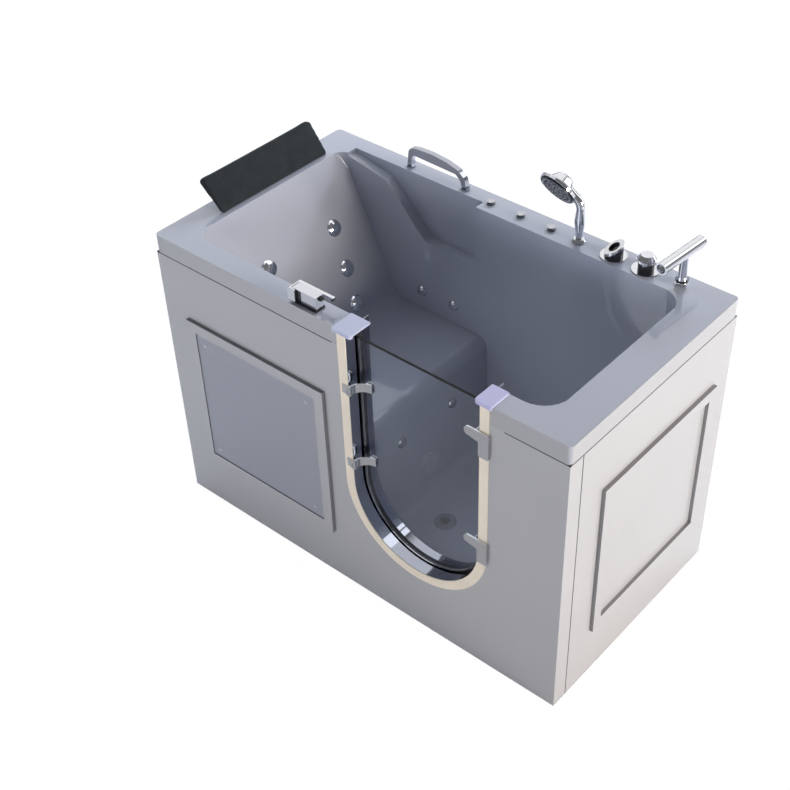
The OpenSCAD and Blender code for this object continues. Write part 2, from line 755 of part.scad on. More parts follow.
// Stainless supports under the headrest
bracket_w = 40;
bracket_t = 4;
bracket_foot = 46;
bracket_at_x0 = 8;
bracket_x0 = from_left(bracket_at_x0);
bracket_lean = atan((rest_h - rest_back_drop) / (rest_face_run + rest_top_t - rest_edge_t));
bracket_share = 0.2;
bracket_clear = 0.2;
module headrest_brackets() {
    rise = tan(bracket_lean);
    edge_x = rest_foot_x - rest_edge_t;
    arm_x = edge_x - (edge_x - bracket_x0) * (1 - bracket_share);
    color([0.6, 0.6, 0.62])
    for (s = [bracket_share, 1 - bracket_share]) {
        y = rest_y0 + rest_l * s - bracket_w / 2;
        block([bracket_x0, y, rim_h], [bracket_x0 + bracket_foot, y + bracket_w, rim_h + bracket_t]);
        along_y(y, y + bracket_w) polygon([
            [arm_x, rim_h], [arm_x + bracket_t, rim_h],
            [arm_x + bracket_t, rim_h + rest_lift + (edge_x - arm_x - bracket_t) * rise - bracket_clear],
            [arm_x, rim_h + rest_lift + (edge_x - arm_x) * rise - bracket_clear]]);
    }
}

// Grab handle on the back rim: a flat crescent on two round feet
grab_back = 32;
grab_y = from_back(grab_back);
grab_at_x0 = 328;
grab_x0 = along(grab_at_x0);
grab_l = 236;
grab_x1 = grab_x0 + grab_l;
grab_h = 77;
grab_t = 18;
grab_leg = 17;
grab_foot_r = 15;
grab_foot_t = 5;
grab_chord_h = 48;
grab_share = [0.03, 0.17, 0.40, 0.66, 0.86, 0.97];
grab_rise_share = [0.86, 0.97, 1, 0.93, 0.77, 0.50];
grab_soft = [20, 60, 90, 90, 60, 30];
grab_inner_r = 14;
module grab_handle() {
    arch = [for (i = [len(grab_share) - 1 : -1 : 0])
        [grab_x0 + grab_l * grab_share[i], deck_z + grab_h * grab_rise_share[i]]];
    soft = [for (i = [len(grab_share) - 1 : -1 : 0]) grab_soft[i]];
    foot = deck_z + grab_foot_t;
    color([0.72, 0.73, 0.76]) {
        along_y(grab_y - grab_t / 2, grab_y + grab_t / 2) difference() {
            polygon(rounded(concat([[grab_x0, foot], [grab_x1, foot]], arch), concat([0, 0], soft)));
            polygon(rounded([[grab_x0 + grab_leg, deck_z], [grab_x1 - grab_leg, deck_z],
                [grab_x1 - grab_leg * 1.3, deck_z + grab_chord_h / 2],
                [grab_x1 - grab_leg * 2.4, deck_z + grab_chord_h - grab_foot_t],
                [grab_x0 + grab_leg * 1.1, deck_z + grab_chord_h]],
                [0, 0, grab_inner_r * 2, grab_inner_r, grab_inner_r]));
        }
        for (x = [grab_x0 + grab_leg / 2, grab_x1 - grab_leg / 2]) translate([x, grab_y, deck_z])
            cylinder(h = grab_foot_t, r = grab_foot_r, $fn = round_fn);
    }
}

// Air buttons: a chrome sleeve through the deck and a sprung cap
sleeve_h = 4;
sleeve_bore_r = 9;
button_h = 12;
button_stem = 20;
button_head_r = 12.5;
button_under = 8.5;
button_dome_h = 2;
button_nut_r = 11.5;
button_skirt_r = button_d / 2 + 2;
button_skirt_t = 1.5;
module button_sleeves() {
    color([0.75, 0.76, 0.78])
    for (x = button_places) translate([x, row_y, deck_z]) difference() {
        union() {
            cylinder(h = button_skirt_t, r = button_skirt_r, $fn = round_fn);
            cylinder(h = sleeve_h, r = button_d / 2, $fn = round_fn);
            deck_stem(button_hole_r, button_nut_r);
        }
        translate([0, 0, -shell_t - nut_t - over])
            cylinder(h = shell_t + nut_t + sleeve_h + over * 2, r = sleeve_bore_r, $fn = small_fn);
    }
}
module air_button(i) {
    cap_r = sleeve_bore_r - run_gap;
    color([0.85, 0.86, 0.88])
    translate([button_places[i], row_y, deck_z]) rotate_extrude($fn = small_fn)
        polygon([[0, button_h - button_stem], [cap_r, button_h - button_stem], [cap_r, button_under],
            [button_head_r, button_under], [button_head_r, button_h - button_dome_h],
            [button_head_r / 2, button_h - button_dome_h / 4], [0, button_h]]);
}
module air_button_1() { air_button(0); }
module air_button_2() { air_button(1); }
module air_button_3() { air_button(2); }

// Hand shower: a ferrule in the deck, a handle that bends over, and a round head with a nozzle face
ferrule_r = 21;
ferrule_h = 9;
shower_bore_r = 11;
handle_r = 13;
handle_foot_r = 10;
handle_mid_r = 17;
handle_mid_share = 0.62;
handle_soft = 60;
neck_l = 34;
neck_seat = 6;
shower_neck_r = 11.5;
handle_seat = 12;
handle_base_h = 14;
shower_bend_r = 42;
shower_bend_angle = 55;
head_h = 46;
head_edge = 10;
dome_r = 43;
dome_foot = 16;
head_y_off = -14;
head_x_off = -76;
head_z_off = 150;
head_turn = 262;
head_tilt = 122;
face_t = 4;
face_inset = 5;
nozzle_rings = [16, 30, 43];
nozzle_r = 2;
nozzle_h = 1.5;
module at_head() {
    translate([shower_x + head_x_off, row_y + head_y_off, deck_z + head_z_off])
        rotate([0, 0, head_turn]) rotate([0, head_tilt, 0]) children();
}
module shower_ferrule() {
    color([0.75, 0.76, 0.78])
    translate([shower_x, row_y, deck_z]) difference() {
        union() {
            rotate_extrude($fn = round_fn) polygon([[0, 0], [ferrule_r, 0], [ferrule_r, ferrule_h / 3],
                [shower_hole_r, ferrule_h], [0, ferrule_h]]);
            deck_stem(shower_hole_r, ferrule_r);
        }
        translate([0, 0, -shell_t - nut_t - over])
            cylinder(h = shell_t + nut_t + ferrule_h + over * 2, r = shower_bore_r + run_gap, $fn = small_fn);
    }
}
module hand_shower() {
    grip_l = shower_handle_h - ferrule_h - loose_gap;
    color([0.72, 0.73, 0.77]) {
        translate([shower_x, row_y, deck_z]) {
            translate([0, 0, -handle_seat])
                cylinder(h = handle_seat + ferrule_h + loose_gap, r = shower_bore_r, $fn = small_fn);
            translate([0, 0, ferrule_h + loose_gap]) rotate_extrude($fn = round_fn)
                polygon(rounded([[0, 0], [handle_foot_r, 0], [handle_mid_r, grip_l * handle_mid_share],
                    [handle_r, grip_l], [0, grip_l]], [0, over, handle_soft, 0, 0]));
            translate([-shower_bend_r, 0, shower_handle_h]) rotate([90, 0, 0])
                rotate_extrude(angle = shower_bend_angle, $fn = round_fn)
                translate([shower_bend_r, 0]) circle(r = handle_r, $fn = small_fn);
            translate([-shower_bend_r, 0, shower_handle_h]) rotate([0, -shower_bend_angle, 0])
                translate([shower_bend_r, 0, -neck_seat]) cylinder(h = neck_l, r = shower_neck_r, $fn = small_fn);
        }
        at_head() rotate_extrude($fn = round_fn)
            polygon(rounded([[0, -head_h], [dome_r * 0.6, -head_h], [dome_r, -dome_foot],
                [shower_head_d / 2, -head_edge], [shower_head_d / 2, 0], [0, 0]],
                [0, dome_r * 0.4, face_t * 2, face_t / 2, over, 0]));
    }
}
module shower_face() {
    color([0.25, 0.26, 0.30])
    at_head() {
        cylinder(h = face_t, r = shower_head_d / 2 - face_inset, $fn = round_fn);
        for (k = [0 : len(nozzle_rings) - 1]) for (i = [0 : 6 + 6 * k - 1])
            rotate([0, 0, 360 * i / (6 + 6 * k)]) translate([nozzle_rings[k], 0, face_t])
            cylinder(h = nozzle_h, r = nozzle_r, $fn = 8);
    }
}

// Diverter: a dark round base and a handle cut at a slant
escutcheon_r = 40;
escutcheon_t = 3;
diverter_r = 28;
diverter_low = 9;
diverter_high = 45;
diverter_turn = 38;
dish_r = 17;
dish_d = 7;
spindle_stub_r = 5;
spindle_depth = 12;
module tap_base(x, y, skirt_r) {
    translate([x, y, deck_z]) difference() {
        union() {
            cylinder(h = escutcheon_t, r = skirt_r, $fn = round_fn);
            translate([0, 0, -shell_t - nut_t]) cylinder(h = shell_t + nut_t, r = tap_hole_r, $fn = small_fn);
        }
        translate([0, 0, escutcheon_t - spindle_depth])
            cylinder(h = spindle_depth + over, r = spindle_stub_r + run_gap, $fn = small_fn);
    }
}
module tap_spindle() {
    translate([0, 0, over - spindle_depth]) cylinder(h = spindle_depth, r = spindle_stub_r, $fn = small_fn);
}
module diverter_base() {
    color([0.78, 0.79, 0.82]) tap_base(diverter_x, tap_y, escutcheon_r);
}
module diverter_handle() {
    lean = atan((diverter_high - diverter_low) / (diverter_r * 2));
    mid = (diverter_high + diverter_low) / 2;
    color([0.08, 0.09, 0.10])
    translate([diverter_x, tap_y, deck_z + escutcheon_t]) rotate([0, 0, diverter_turn]) {
        translate([0, 0, loose_gap]) difference() {
            cylinder(h = diverter_high, r = diverter_r, $fn = round_fn);
            translate([0, 0, mid]) rotate([0, -lean, 0]) {
                translate([-diverter_high, -diverter_high, 0])
                    cube([diverter_high * 2, diverter_high * 2, diverter_high]);
                translate([0, 0, -dish_d]) cylinder(h = dish_d + over, r = dish_r, $fn = round_fn);
            }
        }
        tap_spindle();
    }
}

// Mixer: a dark skirt with a lobed chrome crown
mixer_r = 24;
mixer_skirt_h = 23;
crown_flare_r = 28;
crown_flare_h = 35;
crown_top_r = 18.5;
crown_h = 48;
lobe_r = 7;
lobes = 5;
lobe_h = 8;
lobe_drop = 2;
module mixer_base() {
    color([0.78, 0.79, 0.82]) tap_base(mixer_x, tap_y, escutcheon_r + over * 2);
}
module mixer_knob() {
    color([0.30, 0.31, 0.34])
    translate([mixer_x, tap_y, deck_z + escutcheon_t]) {
        translate([0, 0, loose_gap]) {
            cylinder(h = mixer_skirt_h, r = mixer_r, $fn = round_fn);
            translate([0, 0, mixer_skirt_h]) rotate_extrude($fn = round_fn)
                polygon([[0, 0], [mixer_r, 0], [crown_flare_r, crown_flare_h - mixer_skirt_h],
                    [crown_top_r, crown_h - mixer_skirt_h], [0, crown_h - mixer_skirt_h]]);
            for (i = [0 : lobes - 1]) rotate([0, 0, 360 * i / lobes])
                translate([crown_flare_r - lobe_r / 2, 0, crown_flare_h - lobe_h - lobe_drop])
                cylinder(h = lobe_h, r = lobe_r, $fn = small_fn);
        }
        tap_spindle();
    }
}

// Spout: a flared post that swivels in its base, with a level tube across its top
spout_base_r = 19;
spout_base_h = 6;
post_r = 12;
post_foot_r = 17;
post_flare_h = 22;
spout_tail = 76;
spout_turn = 4;
spout_bore_r = 10;
spout_seat = 10;
module spout_base() {
    color([0.75, 0.76, 0.78])
    translate([spout_x, row_y, deck_z]) difference() {
        union() {
            cylinder(h = spout_base_h, r = spout_base_r, $fn = round_fn);
            translate([0, 0, -shell_t - nut_t]) cylinder(h = shell_t + nut_t, r = tap_hole_r, $fn = small_fn);
        }
        translate([0, 0, spout_base_h - spout_seat])
            cylinder(h = spout_seat + over, r = spout_bore_r + run_gap, $fn = small_fn);
    }
}
module spout() {
    color([0.74, 0.75, 0.78])
    translate([spout_x, row_y, deck_z]) {
        translate([0, 0, spout_base_h - spout_seat + loose_gap])
            cylinder(h = spout_seat, r = spout_bore_r, $fn = small_fn);
        translate([0, 0, spout_base_h + loose_gap]) rotate_extrude($fn = round_fn)
            polygon([[0, 0], [post_foot_r, 0], [post_foot_r, post_flare_h / 4], [post_r + over, post_flare_h],
                [post_r, spout_h - spout_base_h], [0, spout_h - spout_base_h]]);
        difference() {
            rotate([0, 0, -spout_turn]) translate([0, spout_tail, spout_h]) rotate([90, 0, 0])
                cylinder(h = spout_tail + spout_reach, r = spout_d / 2, $fn = round_fn);
            rotate([0, 0, -spout_turn]) translate([0, -spout_reach + spout_d / 2, spout_h]) rotate([90, 0, 0])
                cylinder(h = spout_d, r = spout_d / 2 - strap_t, $fn = round_fn);
        }
    }
}

// Drain control on the front rim: a low block with a lever pinned to its back
lever_base_at_x0 = 550;
lever_base_x0 = along(lever_base_at_x0);
lever_base_at_x1 = 638;
lever_base_x1 = along(lever_base_at_x1);
lever_in = 15;
lever_base_y0 = from_front(lever_in);
lever_base_d = 33;
lever_base_y1 = lever_base_y0 + lever_base_d;
lever_base_h = 46;
lever_plinth = 7;
lever_lip = 2;
lever_pin_at_x = 600;
lever_pin_x = along(lever_pin_at_x);
lever_pin_h = 37;
lever_pin_r = 3;
lever_bar_t = 10;
lever_bar_h = 11;
lever_gap = 0.8;
lever_over = 32;
tab_t = 5;
tab_gap = 4;
tab_h = 44;
tab_w = 22;
module lever_base() {
    color([0.70, 0.71, 0.74]) {
        block([lever_base_x0 - lever_lip, lever_base_y0 - lever_lip, deck_z],
            [lever_base_x1 + lever_lip, lever_base_y1, deck_z + lever_plinth]);
        block([lever_base_x0, lever_base_y0, deck_z + lever_plinth],
            [lever_base_x1, lever_base_y1, deck_z + lever_base_h]);
        translate([lever_pin_x, lever_base_y1, deck_z + lever_pin_h]) rotate([-90, 0, 0])
            cylinder(h = lever_gap + lever_bar_t, r = lever_pin_r, $fn = small_fn);
    }
}
module drain_lever() {
    bar_y0 = lever_base_y1 + lever_gap;
    bar_y1 = bar_y0 + lever_bar_t;
    z = deck_z + lever_pin_h;
    tab_x = lever_base_x0 - lever_lip - tab_gap - tab_t;
    tab_y = lever_base_y0 - lever_lip - lever_gap - tab_t;
    tab_z = deck_z + lever_base_h - tab_h + lever_lip;
    color([0.82, 0.82, 0.80])
    difference() {
        union() {
            along_y(bar_y0, bar_y1) polygon(rounded([[tab_x, z - lever_bar_h / 2],
                [lever_base_x1 + lever_over, z - lever_bar_h / 2],
                [lever_base_x1 + lever_over, z + lever_bar_h / 2],
                [tab_x, z + lever_bar_h / 2]], [0, lever_lip, lever_lip, 0]));
            block([tab_x, tab_y, z - lever_bar_h / 2], [tab_x + tab_t, bar_y1, z + lever_bar_h / 2]);
            along_y(tab_y, tab_y + tab_t) polygon(rounded([[tab_x, tab_z], [tab_x + tab_t + tab_w, tab_z],
                [tab_x + tab_t + tab_w, tab_z + tab_h], [tab_x, tab_z + tab_h]],
                [tab_w / 3, tab_w / 3, tab_w / 3, tab_w / 3]));
        }
        translate([lever_pin_x, bar_y0 - over, z]) rotate([-90, 0, 0])
            cylinder(h = lever_bar_t + over * 2, r = lever_pin_r + run_gap, $fn = small_fn);
    }
}

// Jets: a domed chrome face, a stem through the wall and a nut behind it
module jet(face_r) {
    color([0.80, 0.81, 0.83]) {
        rotate_extrude($fn = small_fn) polygon([[0, 0], [face_r, 0], [face_r, jet_dome_h / 4],
            [face_r * cos(30), jet_dome_h * sin(40)], [face_r / 2, jet_dome_h * cos(20)], [0, jet_dome_h]]);
        translate([0, 0, -jet_tail]) cylinder(h = jet_tail, r = jet_stem_r, $fn = small_fn);
        translate([0, 0, -shell_t - jet_nut_t]) cylinder(h = jet_nut_t, r = jet_nut_r, $fn = 6);
    }
}
small_jet_r = 18;
module backrest_jets() { each_backrest_jet() jet(jet_r); }
module side_jets() { each_side_jet() jet(small_jet_r); }
module riser_jets() { each_riser_jet() jet(small_jet_r); }
grille_t = 8;
grille_slots = 5;
slot_w = 4;
slot_pitch = 11;
module suction_grille() {
    color([0.78, 0.79, 0.80])
    on_riser(riser_mid_y, grille_z) difference() {
        union() {
            cylinder(h = grille_t, r = grille_r, $fn = round_fn);
            translate([0, 0, -jet_tail]) cylinder(h = jet_tail, r = grille_hole_r, $fn = small_fn);
        }
        translate([0, 0, -jet_tail + shell_t])
            cylinder(h = jet_tail - shell_t + over, r = grille_hole_r - strap_t, $fn = small_fn);
    }
    color([0.78, 0.79, 0.80])
    on_riser(riser_mid_y, grille_z) for (i = [0 : grille_slots - 1])
        translate([(i - (grille_slots - 1) / 2) * slot_pitch - slot_w / 2, -grille_hole_r, grille_t - slot_w])
        cube([slot_w, grille_hole_r * 2, slot_w]);
}
overflow_t = 10;
module overflow_cover() {
    color([0.78, 0.79, 0.80])
    on_foot_wall(overflow_y, overflow_z) {
        cylinder(h = overflow_t, r = overflow_r, $fn = round_fn);
        translate([0, 0, -jet_tail]) cylinder(h = jet_tail, r = overflow_hole_r, $fn = small_fn);
    }
}
strainer_t = 3;
strainer_holes = 8;
strainer_hole_r = 3;
strainer_ring_r = 17;
module drain_strainer() {
    color([0.75, 0.76, 0.78])
    translate([drain_x, drain_y, well_h]) difference() {
        union() {
            cylinder(h = strainer_t, r = drain_r, $fn = round_fn);
            translate([0, 0, -shell_t * 2]) cylinder(h = shell_t * 2, r = drain_hole_r, $fn = small_fn);
        }
        for (i = [0 : strainer_holes - 1]) rotate([0, 0, 360 * i / strainer_holes])
            translate([strainer_ring_r, 0, -shell_t * 2 - over])
            cylinder(h = shell_t * 2 + strainer_t + over * 2, r = strainer_hole_r, $fn = small_fn);
    }
}

// Steel frame of square tube under the rim and the basin
tube = 30;
frame_inset = 16;
frame_seat = 0.1;
rail_z = 60;
rail_top = rail_z + tube;
frame_x0 = from_left(frame_inset);
frame_x1 = tub_l / 2 - frame_inset - tube;
frame_y0 = from_front(frame_inset);
frame_y1 = tub_w / 2 - skirt_t - tube;
door_post_gap = 4;
door_post_in = door_half + flange_w + door_post_gap;
door_posts = [door_cx - door_post_in - tube, door_cx + door_post_in];
top_rail_z = fascia_z + skirt_t;
tray_cross_at_x = 340;
tray_cross_x = along(tray_cross_at_x);
seat_cross_at_x = 625;
seat_cross_x = along(seat_cross_at_x);
well_cross_at_x = 1100;
well_cross_x = along(well_cross_at_x);
cross_x = [frame_x0, tray_cross_x, seat_cross_x, -tube / 2, well_cross_x, frame_x1];
module upright(x, y, z0, z1) {
    block([x, y, z0], [x + tube, y + tube, z1]);
}
module frame_legs() {
    color([0.55, 0.56, 0.58]) {
        for (x = [frame_x0, frame_x1], y = [frame_y0, frame_y1]) upright(x, y, rail_top, rim_under);
        for (x = door_posts) upright(x, frame_y0, rail_top, rim_under);
        upright(-tube / 2, frame_y1, rail_top, rim_under);
    }
}
module frame_rails() {
    color([0.55, 0.56, 0.58]) {
        for (y = [frame_y0, frame_y1])
            block([frame_x0, y, rail_z], [frame_x1 + tube, y + tube, rail_top]);
        block([frame_x0 + tube, frame_y0, top_rail_z], [door_posts[0], frame_y0 + tube, top_rail_z + tube]);
        block([door_posts[1] + tube, frame_y0, top_rail_z], [frame_x1, frame_y0 + tube, top_rail_z + tube]);
        block([frame_x0 + tube, frame_y1, top_rail_z], [-tube / 2, frame_y1 + tube, top_rail_z + tube]);
        block([tube / 2, frame_y1, top_rail_z], [frame_x1, frame_y1 + tube, top_rail_z + tube]);
        for (x = [frame_x0, frame_x1])
            block([x, frame_y0 + tube, top_rail_z], [x + tube, frame_y1, top_rail_z + tube]);
    }
}
// Cross-members carry pads under the footwell and two uprights under the seat
pad_z = well_h - shell_t;
pad_inset = 150;
seat_post_at = [190, 580];
seat_post_y = [for (d = seat_post_at) across(d)];
seat_post_top = seat_h - shell_t;
module frame_cross_members() {
    color([0.55, 0.56, 0.58]) {
        for (x = cross_x) block([x, frame_y0 + tube, rail_z], [x + tube, frame_y1, rail_top]);
    }
}
module frame_posts() {
    color([0.55, 0.56, 0.58]) {
        for (y = [well_y0 + pad_inset, well_y1 - pad_inset - tube])
            upright(well_cross_x, y, rail_top, pad_z);
        for (y = seat_post_y) upright(seat_cross_x, y, rail_top, seat_post_top);
    }
}
foot_r = 22;
foot_t = 10;
stem_r = 6;
foot_nut_r = 11;
module levelling_foot(x, y) {
    translate([x, y, 0]) color([0.20, 0.20, 0.22]) {
        cylinder(h = foot_t, r = foot_r, $fn = round_fn);
        cylinder(h = rail_z, r = stem_r, $fn = small_fn);
        translate([0, 0, rail_z - foot_t]) cylinder(h = foot_t, r = foot_nut_r, $fn = 6);
    }
}
module levelling_feet() {
    for (x = [frame_x0 + tube / 2, 0, frame_x1 + tube / 2], y = [frame_y0 + tube / 2, frame_y1 + tube / 2])
        levelling_foot(x, y);
    levelling_foot(0, 0);
}

// Massage pump and air blower on a tray between two cross-members, under the seat
tray_t = 4;
tray_x0 = tray_cross_x;
tray_x1 = seat_cross_x + tube;
tray_y0 = seat_post_y[0] + tube + loose_gap;
tray_y1 = seat_post_y[1] - loose_gap;
pump_at_x = 420;
pump_x = along(pump_at_x);
pump_at_y = 330;
pump_y = across(pump_at_y);
pump_r = 72;
pump_l = 70;
pump_foot = 18;
pump_axis_z = rail_top + tray_t + pump_foot + pump_r;
motor_r = 60;
motor_l = 170;
motor_fins = 16;
fin_t = 3;
fin_h = 5;
port_r = 25;
port_l = 30;
module pump_body() {
    color([0.15, 0.16, 0.18]) {
        block([tray_x0, tray_y0, rail_top], [tray_x1, tray_y1, rail_top + tray_t]);
        translate([pump_x, pump_y, pump_axis_z]) rotate([0, -90, 0])
            cylinder(h = pump_l, r = pump_r, $fn = round_fn);
        rod([pump_x - pump_l / 2, pump_y, pump_axis_z],
            [pump_x - pump_l / 2, pump_y, pump_axis_z + pump_r + port_l], port_r);
        rod([pump_x - pump_l, pump_y, pump_axis_z],
            [pump_x - pump_l - port_l, pump_y, pump_axis_z], port_r);
        block([pump_x - pump_l, pump_y - pump_r / 2, rail_top + tray_t],
            [pump_x, pump_y + pump_r / 2, pump_axis_z - pump_r / 2]);
    }
}
module pump_motor() {
    color([0.30, 0.33, 0.38])
    translate([pump_x, pump_y, pump_axis_z]) {
        rotate([0, 90, 0]) {
            cylinder(h = motor_l, r = motor_r, $fn = round_fn);
            for (i = [0 : motor_fins - 1]) rotate([0, 0, 360 * i / motor_fins])
                translate([motor_r - over, -fin_t / 2, fin_h])
                cube([fin_h + over, fin_t, motor_l - fin_h * 2]);
        }
        translate([motor_l / 3, -motor_r / 2, -pump_r - pump_foot])
            cube([motor_l / 3, motor_r, pump_foot + pump_r - motor_r / 2]);
    }
}
blower_at_x = 510;
blower_x = along(blower_at_x);
blower_at_y = 500;
blower_y = across(blower_at_y);
blower_r = 80;
blower_h = 90;
blower_motor_r = 50;
blower_motor_h = 70;
blower_port_r = 20;
module air_blower() {
    color([0.22, 0.23, 0.25])
    translate([blower_x, blower_y, rail_top + tray_t]) {
        cylinder(h = blower_h, r = blower_r, $fn = round_fn);
        translate([0, 0, blower_h]) cylinder(h = blower_motor_h, r = blower_motor_r, $fn = round_fn);
        translate([0, 0, blower_h / 2]) rotate([-90, 0, 0])
            cylinder(h = blower_r + port_l, r = blower_port_r, $fn = small_fn);
    }
}
// Pressure pipes run from the pump behind the backrest jets and to the riser jets, with a fitting at each
// branch
pipe_r = 14;
fitting_r = 19;
manifold_drop = jet_tail + fitting_r + loose_gap;
pipe_run_z = seat_post_top - pipe_r * 4;
function jet_tail_point(i, s) =
    [basin_x0 + tan(recline) * backrest_jet_drops[i] - manifold_drop * cos(recline),
     jet_mid_y + s * backrest_jet_halves[i],
     rim_h - backrest_jet_drops[i] - manifold_drop * sin(recline)];
module fitting(p) {
    translate(p) sphere(r = fitting_r, $fn = small_fn);
}
module pressure_pipes() {
    head = [pump_x - pump_l / 2, pump_y, pump_axis_z + pump_r + port_l];
    low = jet_tail_point(2, -1);
    feed_low = [low.x, pump_y, low.z];
    riser_back = riser_x(riser_jet_z) - manifold_drop * cos(riser_tilt);
    riser_low = riser_jet_z + manifold_drop * sin(riser_tilt);
    branch = [head.x, pump_y, riser_low];
    riser_tee = [riser_back, pump_y, riser_low];
    color([0.85, 0.86, 0.88]) {
        for (s = [-1, 1]) {
            for (i = [0 : 1]) rod(jet_tail_point(i, s), jet_tail_point(i + 1, s), pipe_r);
            for (i = [0 : 2]) fitting(jet_tail_point(i, s));
            rod(feed_low, jet_tail_point(2, s), pipe_r);
            rod(riser_tee, [riser_back, riser_mid_y + s * riser_jet_half, riser_low], pipe_r);
            fitting([riser_back, riser_mid_y + s * riser_jet_half, riser_low]);
        }
        rod(head, [head.x, pump_y, pipe_run_z], pipe_r);
        rod([head.x, pump_y, pipe_run_z], [low.x, pump_y, pipe_run_z], pipe_r);
        rod([low.x, pump_y, pipe_run_z], feed_low, pipe_r);
        rod(branch, riser_tee, pipe_r);
        for (p = [[head.x, pump_y, pipe_run_z], [low.x, pump_y, pipe_run_z], feed_low, branch, riser_tee])
            fitting(p);
    }
}
// The suction pipe leads from the grille in the footwell to the end of the pump
suction_r = 22;
module suction_pipe() {
    back = riser_x(grille_z) - jet_tail * cos(riser_tilt) - grille_hole_r * sin(riser_tilt) - loose_gap;
    near_x = pump_x + motor_l + suction_r * 2;
    far_x = pump_x - pump_l - port_l - suction_r;
    high_z = grille_z + suction_r * 4;
    color([0.85, 0.86, 0.88])
        pipe([[back, riser_mid_y, grille_z], [near_x, riser_mid_y, grille_z], [near_x, riser_mid_y, high_z],
            [far_x, riser_mid_y, high_z], [far_x, pump_y, high_z], [far_x, pump_y, pump_axis_z],
            [far_x + suction_r, pump_y, pump_axis_z]], suction_r);
}
air_r = 8;
module air_pipes() {
    start = [blower_x, blower_y + blower_r + port_l, rail_top + tray_t + blower_h / 2];
    side_back = back_wall_y(side_jet_z) + jet_tail * cos(back_tilt);
    color([0.65, 0.68, 0.72]) {
        pipe([start, [blower_x, side_back + air_r, start.z], [blower_x, side_back + air_r, side_jet_z],
            [side_jet_x[1], side_back + air_r, side_jet_z]], air_r);
        rod([blower_x, side_back + air_r, side_jet_z],
            [side_jet_x[0], side_back + air_r, side_jet_z], air_r);
        for (x = side_jet_x)
            translate([x, side_back + air_r, side_jet_z]) sphere(r = air_r, $fn = small_fn);
    }
}
// Waste: a trap body under the strainer and a pipe to the back of the tub
waste_r = 25;
trap_r = 35;
trap_z = 8;
waste_z = trap_z + waste_r;
waste_end_y = tub_w / 2 - skirt_t;
module drain_pipe() {
    color([0.88, 0.88, 0.88]) difference() {
        union() {
            translate([drain_x, drain_y, trap_z]) cylinder(h = pad_z - trap_z, r = trap_r, $fn = round_fn);
            rod([drain_x, drain_y, waste_z], [drain_x, waste_end_y, waste_z], waste_r - loose_gap * 10);
            rod([drain_x, waste_end_y - trap_r, waste_z], [drain_x, waste_end_y, waste_z], waste_r);
        }
        translate([drain_x, drain_y, pad_z - shell_t])
            cylinder(h = shell_t + over, r = drain_hole_r, $fn = small_fn);
        frame_clear();
    }
}
// Notch where the trap would meet the frame
module frame_clear() {
    block([cross_x[3], drain_y - trap_r - over, rail_z], [cross_x[3] + tube, drain_y + trap_r, rail_top]);
}
// Supply: a valve block under the mixer with two threaded inlets, and feeds to the diverter and the spout
valve_r = 11;
valve_l = 90;
manifold_w = 96;
manifold_d = 30;
manifold_h = 30;
inlet_r = 10.5;
inlet_l = 35;
inlet_half = 32;
valve_top = deck_z - shell_t - nut_t;
manifold_z = valve_top - valve_l;
feed_r = 8;
feed_drop = 55;
module supply_manifold() {
    color([0.76, 0.66, 0.42]) {
        rod([mixer_x, tap_y, manifold_z], [mixer_x, tap_y, valve_top], valve_r);
        block([mixer_x - manifold_w / 2, tap_y - manifold_d / 2, manifold_z - manifold_h],
            [mixer_x + manifold_w / 2, tap_y + manifold_d / 2, manifold_z]);
        for (s = [-1, 1]) translate([mixer_x + s * inlet_half, tap_y, manifold_z - manifold_h - inlet_l])
            cylinder(h = inlet_l, r = inlet_r, $fn = small_fn);
    }
}
module feed_pipes() {
    z = valve_top - feed_drop;
    color([0.70, 0.71, 0.74]) {
        for (way = [[-1, diverter_x], [1, spout_x]])
            pipe([[mixer_x + way[0] * valve_r, tap_y, z], [way[1], tap_y, z], [way[1], tap_y, valve_top]],
                feed_r);
    }
}

tub_shell();
front_panel();
right_end_panel();
left_end_panel();
front_trim_frame();
right_trim_frame();
left_trim_frame();
access_panel();
access_screws();
door_flange();
door_reveal();
door_gasket();
rim_cap_left();
rim_cap_right();
hinge_leaves();
hinge_pins();
door_glass();
hinge_straps();
hinge_clamps();
latch_upper();
latch_lower();
headrest();
headrest_brackets();
grab_handle();
button_sleeves();
air_button_1();
air_button_2();
air_button_3();
shower_ferrule();
hand_shower();
shower_face();
diverter_base();
diverter_handle();
mixer_base();
mixer_knob();
spout_base();
spout();
lever_base();
drain_lever();
backrest_jets();
side_jets();
riser_jets();
suction_grille();
overflow_cover();
drain_strainer();
frame_legs();
frame_rails();
frame_cross_members();
frame_posts();
levelling_feet();
pump_body();
pump_motor();
air_blower();
pressure_pipes();
suction_pipe();
air_pipes();
drain_pipe();
supply_manifold();
feed_pipes();
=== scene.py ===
# Walk-in bathtub with door: finishes, small hardware, floor, sky and lights over the solids
import math

import bmesh
import bpy
from mathutils import Matrix, Vector


